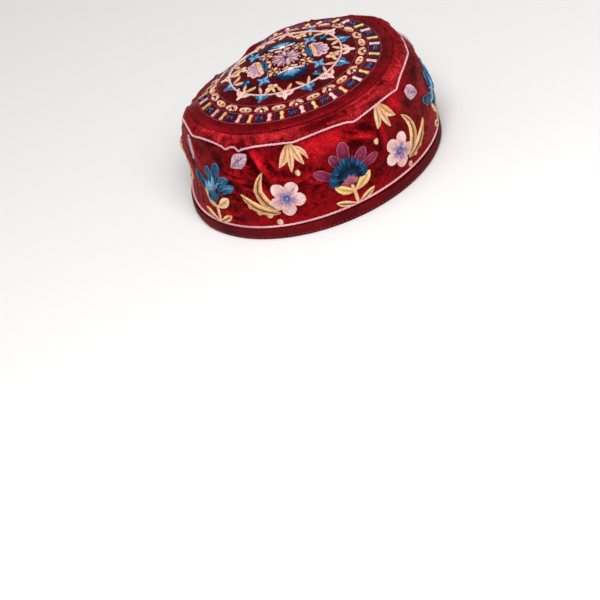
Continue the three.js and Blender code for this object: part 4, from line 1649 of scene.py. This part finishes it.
class SkullcapCloth(bpy.types.PropertyGroup):
    """Sizes and colours of the cloth"""

    thickness: length("Thickness", "Padded velvet from its pile to its lining", 0.0024, 0.001, 0.003)
    crown: colour("Crown", "Colour of the crown's velvet", (0.19, 0.002, 0.005))
    # The shoulder is the wall's velvet painted about two and a half times lighter: a painted sheen where
    # the band faces the light.
    shoulder: colour("Shoulder", "Colour of the band between seam and upper cord", (0.53, 0.010, 0.015))
    wall: colour("Wall", "Colour of the wall's velvet", (0.205, 0.003, 0.006))
    binding: colour("Binding", "Colour of the woven hem binding", (0.10, 0.003, 0.005))
    lustre: share("Lustre", "Strength of the pile's sheen", 0.65)


class SkullcapCords(bpy.types.PropertyGroup):
    """Sizes and colours of the couched cords"""

    ply: length("Ply Radius", "Radius of one ply of a cord", 0.00043, 0.0002, 0.001)
    pitch: length("Twist", "Length of one full twist", 0.0034, 0.002, 0.01)
    spacing: length("Couching", "Distance between the stitches that hold a cord", 0.0042, 0.002, 0.02)
    dark: colour("Cord, Dark", "Darker end of the cords' colour", (0.55, 0.16, 0.20))
    light: colour("Cord, Light", "Lighter end of the cords' colour", (1.0, 0.64, 0.67))
    circle_dark: colour("Circle, Dark", "Darker end of the crown circle's colour", (0.60, 0.30, 0.26))
    circle_light: colour("Circle, Light", "Lighter end of the crown circle's colour", (1.0, 0.76, 0.68))


class SkullcapThreads(bpy.types.PropertyGroup):
    """Sizes and shades of the embroidery"""

    radius: length("Floss Radius", "Radius of one satin stitch", 0.00026, 0.0001, 0.0005)
    pitch: length("Stitch Spacing", "Distance from one satin stitch to the next", 0.00052, 0.0003, 0.002)
    wall_fullness: share("Wall Fullness", "Share of a drawn width that is stitched on the wall", 1.0)
    top_fullness: share("Crown Fullness", "Share of a drawn width that is stitched on the crown", 0.84)


for tone, ends in THREADS.items():
    for end, value in zip(("Dark", "Light"), ends):
        SkullcapThreads.__annotations__[f"{tone}_{end.lower()}"] = colour(
            f"{tone.capitalize()}, {end}", f"{end} end of the {tone} floss", value
        )


class SkullcapStage(bpy.types.PropertyGroup):
    """The floor and the light"""

    floor: colour("Floor", "Colour of the floor", (0.90, 0.895, 0.89))
    air: colour("Air", "Colour of the light from all round", (1.0, 0.99, 0.98))
    key: bpy.props.FloatProperty(
        name="Key Light", description="Power of the main soft light", default=24.0, min=0.0, unit="POWER"
    )


# ---- The stage, in metres and degrees ----
FLOOR_REACH = 6.0
AIR_STRENGTH = 0.24
LIT_PLACE = Vector((0, 0, 0.05))  # the lights point at it
LIGHTS = (
    # name, place, size, share of the key light's power
    ("Key", (0.80, -0.67, 1.25), 1.0, 1.0),
    ("Fill", (-1.2, -1.3, 0.9), 1.2, 0.06),
    ("Top", (-0.1, -0.2, 1.8), 1.2, 0.3),
)
AZIMUTH, ELEVATION, ROLL = 42.0, 28.0, 17.7
DISTANCE, VIEW_WIDTH = 4.0, 0.433  # to the mark, and what the camera takes in there
MARK = Vector((-0.0006, -0.0006, 0.071))  # the point that the camera goes round
AIM_RIGHT, AIM_DOWN = 0.00685, 0.1563  # from the mark to the middle of the view
SENSOR = 36.0  # mm


# ---- Operators ----
class SKULLCAP_OT_velvet(bpy.types.Operator):
    """Makes the crown, the shoulder and the wall of crushed velvet"""

    bl_idname = "skullcap.velvet"
    bl_label = "Velvet"
    CROWN_ROWS, SHOULDER_ROWS, WALL_ROWS = 92, 22, 98

    def execute(self, context):
        settings = context.scene.skullcap_cloth
        thick = settings.thickness / MM
        inside = lining(shade(tuple(settings.crown), 0.8))

        def crown_rows(seen):
            return np.repeat(np.linspace(APEX_DROP, SEAM_DROP, self.CROWN_ROWS)[:, None], len(seen), 1)

        def shoulder_rows(seen):
            shares = np.linspace(0, 1, self.SHOULDER_ROWS)[:, None]
            return SEAM_DROP + (cloth.cord_drop(seen + SEEN_SIDE)[None, :] - SEAM_DROP) * shares

        def wall_rows(seen):
            top = cloth.cord_drop(seen + SEEN_SIDE)[None, :]
            return top + (HEM_DROP - top) * np.linspace(0, 1, self.WALL_ROWS)[:, None]

        crown, shoulder, wall = (tuple(tone) for tone in (settings.crown, settings.shoulder, settings.wall))
        for part, tone, shine, tuft, columns, rows, pole, slot, node in (
            # name, colour, share of the lustre, tufts, columns, rows, closed in the middle, slot, node
            ("Top", crown, 0.5, 0.5, 360, crown_rows, True, "crown_velvet", "crown_panel"),
            ("Shoulder", shoulder, 1.0, 1.0, 540, shoulder_rows, False, "shoulder_velvet", "shoulder_band"),
            ("Wall", wall, 1.0, 1.0, 450, wall_rows, False, "wall_velvet", "side_wall"),
        ):
            pile = velvet(part + " Velvet", tone, settings.lustre * shine, tuft)
            ride(cloth_piece(part + "_Cloth", columns, rows, thick, pile, inside, pole), slot, node)
        return {"FINISHED"}


class SKULLCAP_OT_binding(bpy.types.Operator):
    """Makes the woven binding that folds round the hem"""

    bl_idname = "skullcap.binding"
    bl_label = "Hem Binding"

    def execute(self, context):
        settings = context.scene.skullcap_cloth
        points, creases, turns = binding_rings(columns=360)
        finish = woven(tuple(settings.binding))
        mesh = ring_mesh("Hem_Binding", points, True, (finish,), [0] * len(points), creases)
        step = np.linalg.norm(np.diff(points[:, 0], axis=0, append=points[:1, 0]), axis=1)
        across_run = np.concatenate(([0], np.cumsum(step)))
        add_run(mesh, np.radians(turns) * HEM_RING * MM, across_run * MM)
        ride(link("Hem_Binding", mesh), "binding_velvet", "rim_binding")
        hem_stitches(points[STITCHED_RING])
        return {"FINISHED"}


class SKULLCAP_OT_cords(bpy.types.Operator):
    """Makes the three couched cords and the stitches that hold them"""

    bl_idname = "skullcap.cords"
    bl_label = "Couched Cords"

    def execute(self, context):
        settings = context.scene.skullcap_cords
        rose = satin("Rose Cord", tuple(settings.dark), tuple(settings.light), 0.5)
        pale = satin("Circle Cord", tuple(settings.circle_dark), tuple(settings.circle_light), 0.5)
        measures = settings.ply / MM, settings.pitch / MM, settings.spacing / MM

        def upper(seen):
            return cloth.cord_drop(seen + SEEN_SIDE)

        def lower(seen):
            return np.full(len(seen), LOWER_CORD_DROP)

        def circle(seen):
            return np.full(len(seen), APEX_DROP + CIRCLE_RADIUS)

        cord("Upper_Cord", "upper_cord", upper, CORD_RING, rose, *measures)
        cord("Lower_Cord", "lower_cord", lower, CORD_RING, rose, *measures)
        cord("Top_Circle", "crown_cord", circle, CIRCLE_RADIUS, pale, *measures)
        return {"FINISHED"}


class SKULLCAP_OT_wall_flowers(bpy.types.Operator):
    """Embroiders the flowers and leaves round the wall"""

    bl_idname = "skullcap.wall_flowers"
    bl_label = "Wall Embroidery"

    def execute(self, context):
        drawings = [(drawing, OnWall(seen, drop, mirror)) for drawing, seen, drop, mirror in WALL_WORK]
        settings = context.scene.skullcap_threads
        embroider("Wall_Floss", 10, drawings, settings, settings.wall_fullness)
        return {"FINISHED"}


class SKULLCAP_OT_crown_rings(bpy.types.Operator):
    """Embroiders the rings of motifs on the crown"""

    bl_idname = "skullcap.crown_rings"
    bl_label = "Crown Embroidery"

    def execute(self, context):
        drawings = []
        for drawing, radius, first, count, shift, lean in CROWN_WORK:
            places = (OnCrown(radius, first + 360 / count * k, shift, lean) for k in range(count))
            drawings += [(drawing, place) for place in places]
        settings = context.scene.skullcap_threads
        embroider("Top_Floss", 9, drawings, settings, settings.top_fullness)
        return {"FINISHED"}


class SKULLCAP_OT_stage(bpy.types.Operator):
    """Makes the floor, the soft light, the air and the camera"""

    bl_idname = "skullcap.stage"
    bl_label = "Stage"

    def execute(self, context):
        settings = context.scene.skullcap_stage
        self.add_floor(settings)
        world = bpy.data.worlds.new("Studio")
        world.use_nodes = True
        air = world.node_tree.nodes["Background"].inputs
        air["Color"].default_value = (*settings.air, 1)
        air["Strength"].default_value = AIR_STRENGTH
        context.scene.world = world
        for name, place, size, share_of_key in LIGHTS:
            light = bpy.data.lights.new(name, "AREA")
            light.energy, light.size = settings.key * share_of_key, size
            turn = (LIT_PLACE - Vector(place)).to_track_quat("-Z", "Y").to_matrix().to_4x4()
            link(name, light).matrix_world = Matrix.Translation(place) @ turn
        self.add_camera(context)
        context.scene.view_settings.view_transform = "Standard"
        return {"FINISHED"}

    def add_floor(self, settings):
        """A plain floor with a faint grain."""
        reach = FLOOR_REACH
        corners = [(-reach, -reach, 0), (reach, -reach, 0), (reach, reach, 0), (-reach, reach, 0)]
        mesh = bpy.data.meshes.new("Floor")
        mesh.from_pydata(corners, [], [(0, 1, 2, 3)])
        finish = Finish("Floor")
        tones = shade(settings.floor, 0.985), shade(settings.floor, 1.015)
        grain = finish.between(finish.noise(300.0), *tones)
        mesh.materials.append(finish.surface(Base_Color=grain, Roughness=0.9))
        link("Floor", mesh)

    def add_camera(self, context):
        """A long lens that looks down on the cap, rolled so that the cap leans."""
        a, e, r = (math.radians(value) for value in (AZIMUTH, ELEVATION, ROLL))
        right = Vector((math.cos(a), math.sin(a), 0))
        towards = Vector((math.sin(a) * math.cos(e), -math.cos(a) * math.cos(e), math.sin(e)))
        up = towards.cross(right)
        image_right = right * math.cos(r) - up * math.sin(r)
        image_up = right * math.sin(r) + up * math.cos(r)
        aim = MARK + image_right * AIM_RIGHT - image_up * AIM_DOWN
        camera = bpy.data.cameras.new("Camera")
        camera.sensor_width = SENSOR
        camera.lens = SENSOR * DISTANCE / VIEW_WIDTH
        camera.clip_end = 50.0
        eye = link("Camera", camera)
        place = MARK + towards * DISTANCE
        back = (place - aim).normalized()
        side = image_up.cross(back).normalized()
        turn = Matrix((side, back.cross(side), back)).transposed().to_4x4()
        eye.matrix_world = Matrix.Translation(place) @ turn
        context.scene.camera = eye


class SKULLCAP_PT_panel(bpy.types.Panel):
    """Lists the cap's pieces and their settings"""

    bl_idname = "SKULLCAP_PT_panel"
    bl_label = "Embroidered Skullcap"
    bl_space_type = "VIEW_3D"
    bl_region_type = "UI"
    bl_category = "Skullcap"

    def draw(self, context):
        for group in GROUPS:
            settings = getattr(context.scene, group)
            box = self.layout.box()
            box.label(text=type(settings).__doc__)
            for name in type(settings).__annotations__:
                box.prop(settings, name)
        for operator in OPERATORS:
            self.layout.operator(operator.bl_idname)


GROUPS = {
    "skullcap_cloth": SkullcapCloth,
    "skullcap_cords": SkullcapCords,
    "skullcap_threads": SkullcapThreads,
    "skullcap_stage": SkullcapStage,
}
OPERATORS = (
    SKULLCAP_OT_velvet,
    SKULLCAP_OT_binding,
    SKULLCAP_OT_cords,
    SKULLCAP_OT_wall_flowers,
    SKULLCAP_OT_crown_rings,
    SKULLCAP_OT_stage,
)


def register():
    for group, settings in GROUPS.items():
        bpy.utils.register_class(settings)
        setattr(bpy.types.Scene, group, bpy.props.PointerProperty(type=settings))
    for kind in (*OPERATORS, SKULLCAP_PT_panel):
        bpy.utils.register_class(kind)


def unregister():
    for kind in reversed((*OPERATORS, SKULLCAP_PT_panel)):
        bpy.utils.unregister_class(kind)
    for group, settings in reversed(GROUPS.items()):
        delattr(bpy.types.Scene, group)
        bpy.utils.unregister_class(settings)


def main():
    register()
    for operator in OPERATORS:
        family, name = operator.bl_idname.split(".")
        getattr(getattr(bpy.ops, family), name)()


if __name__ == "__main__":
    main()
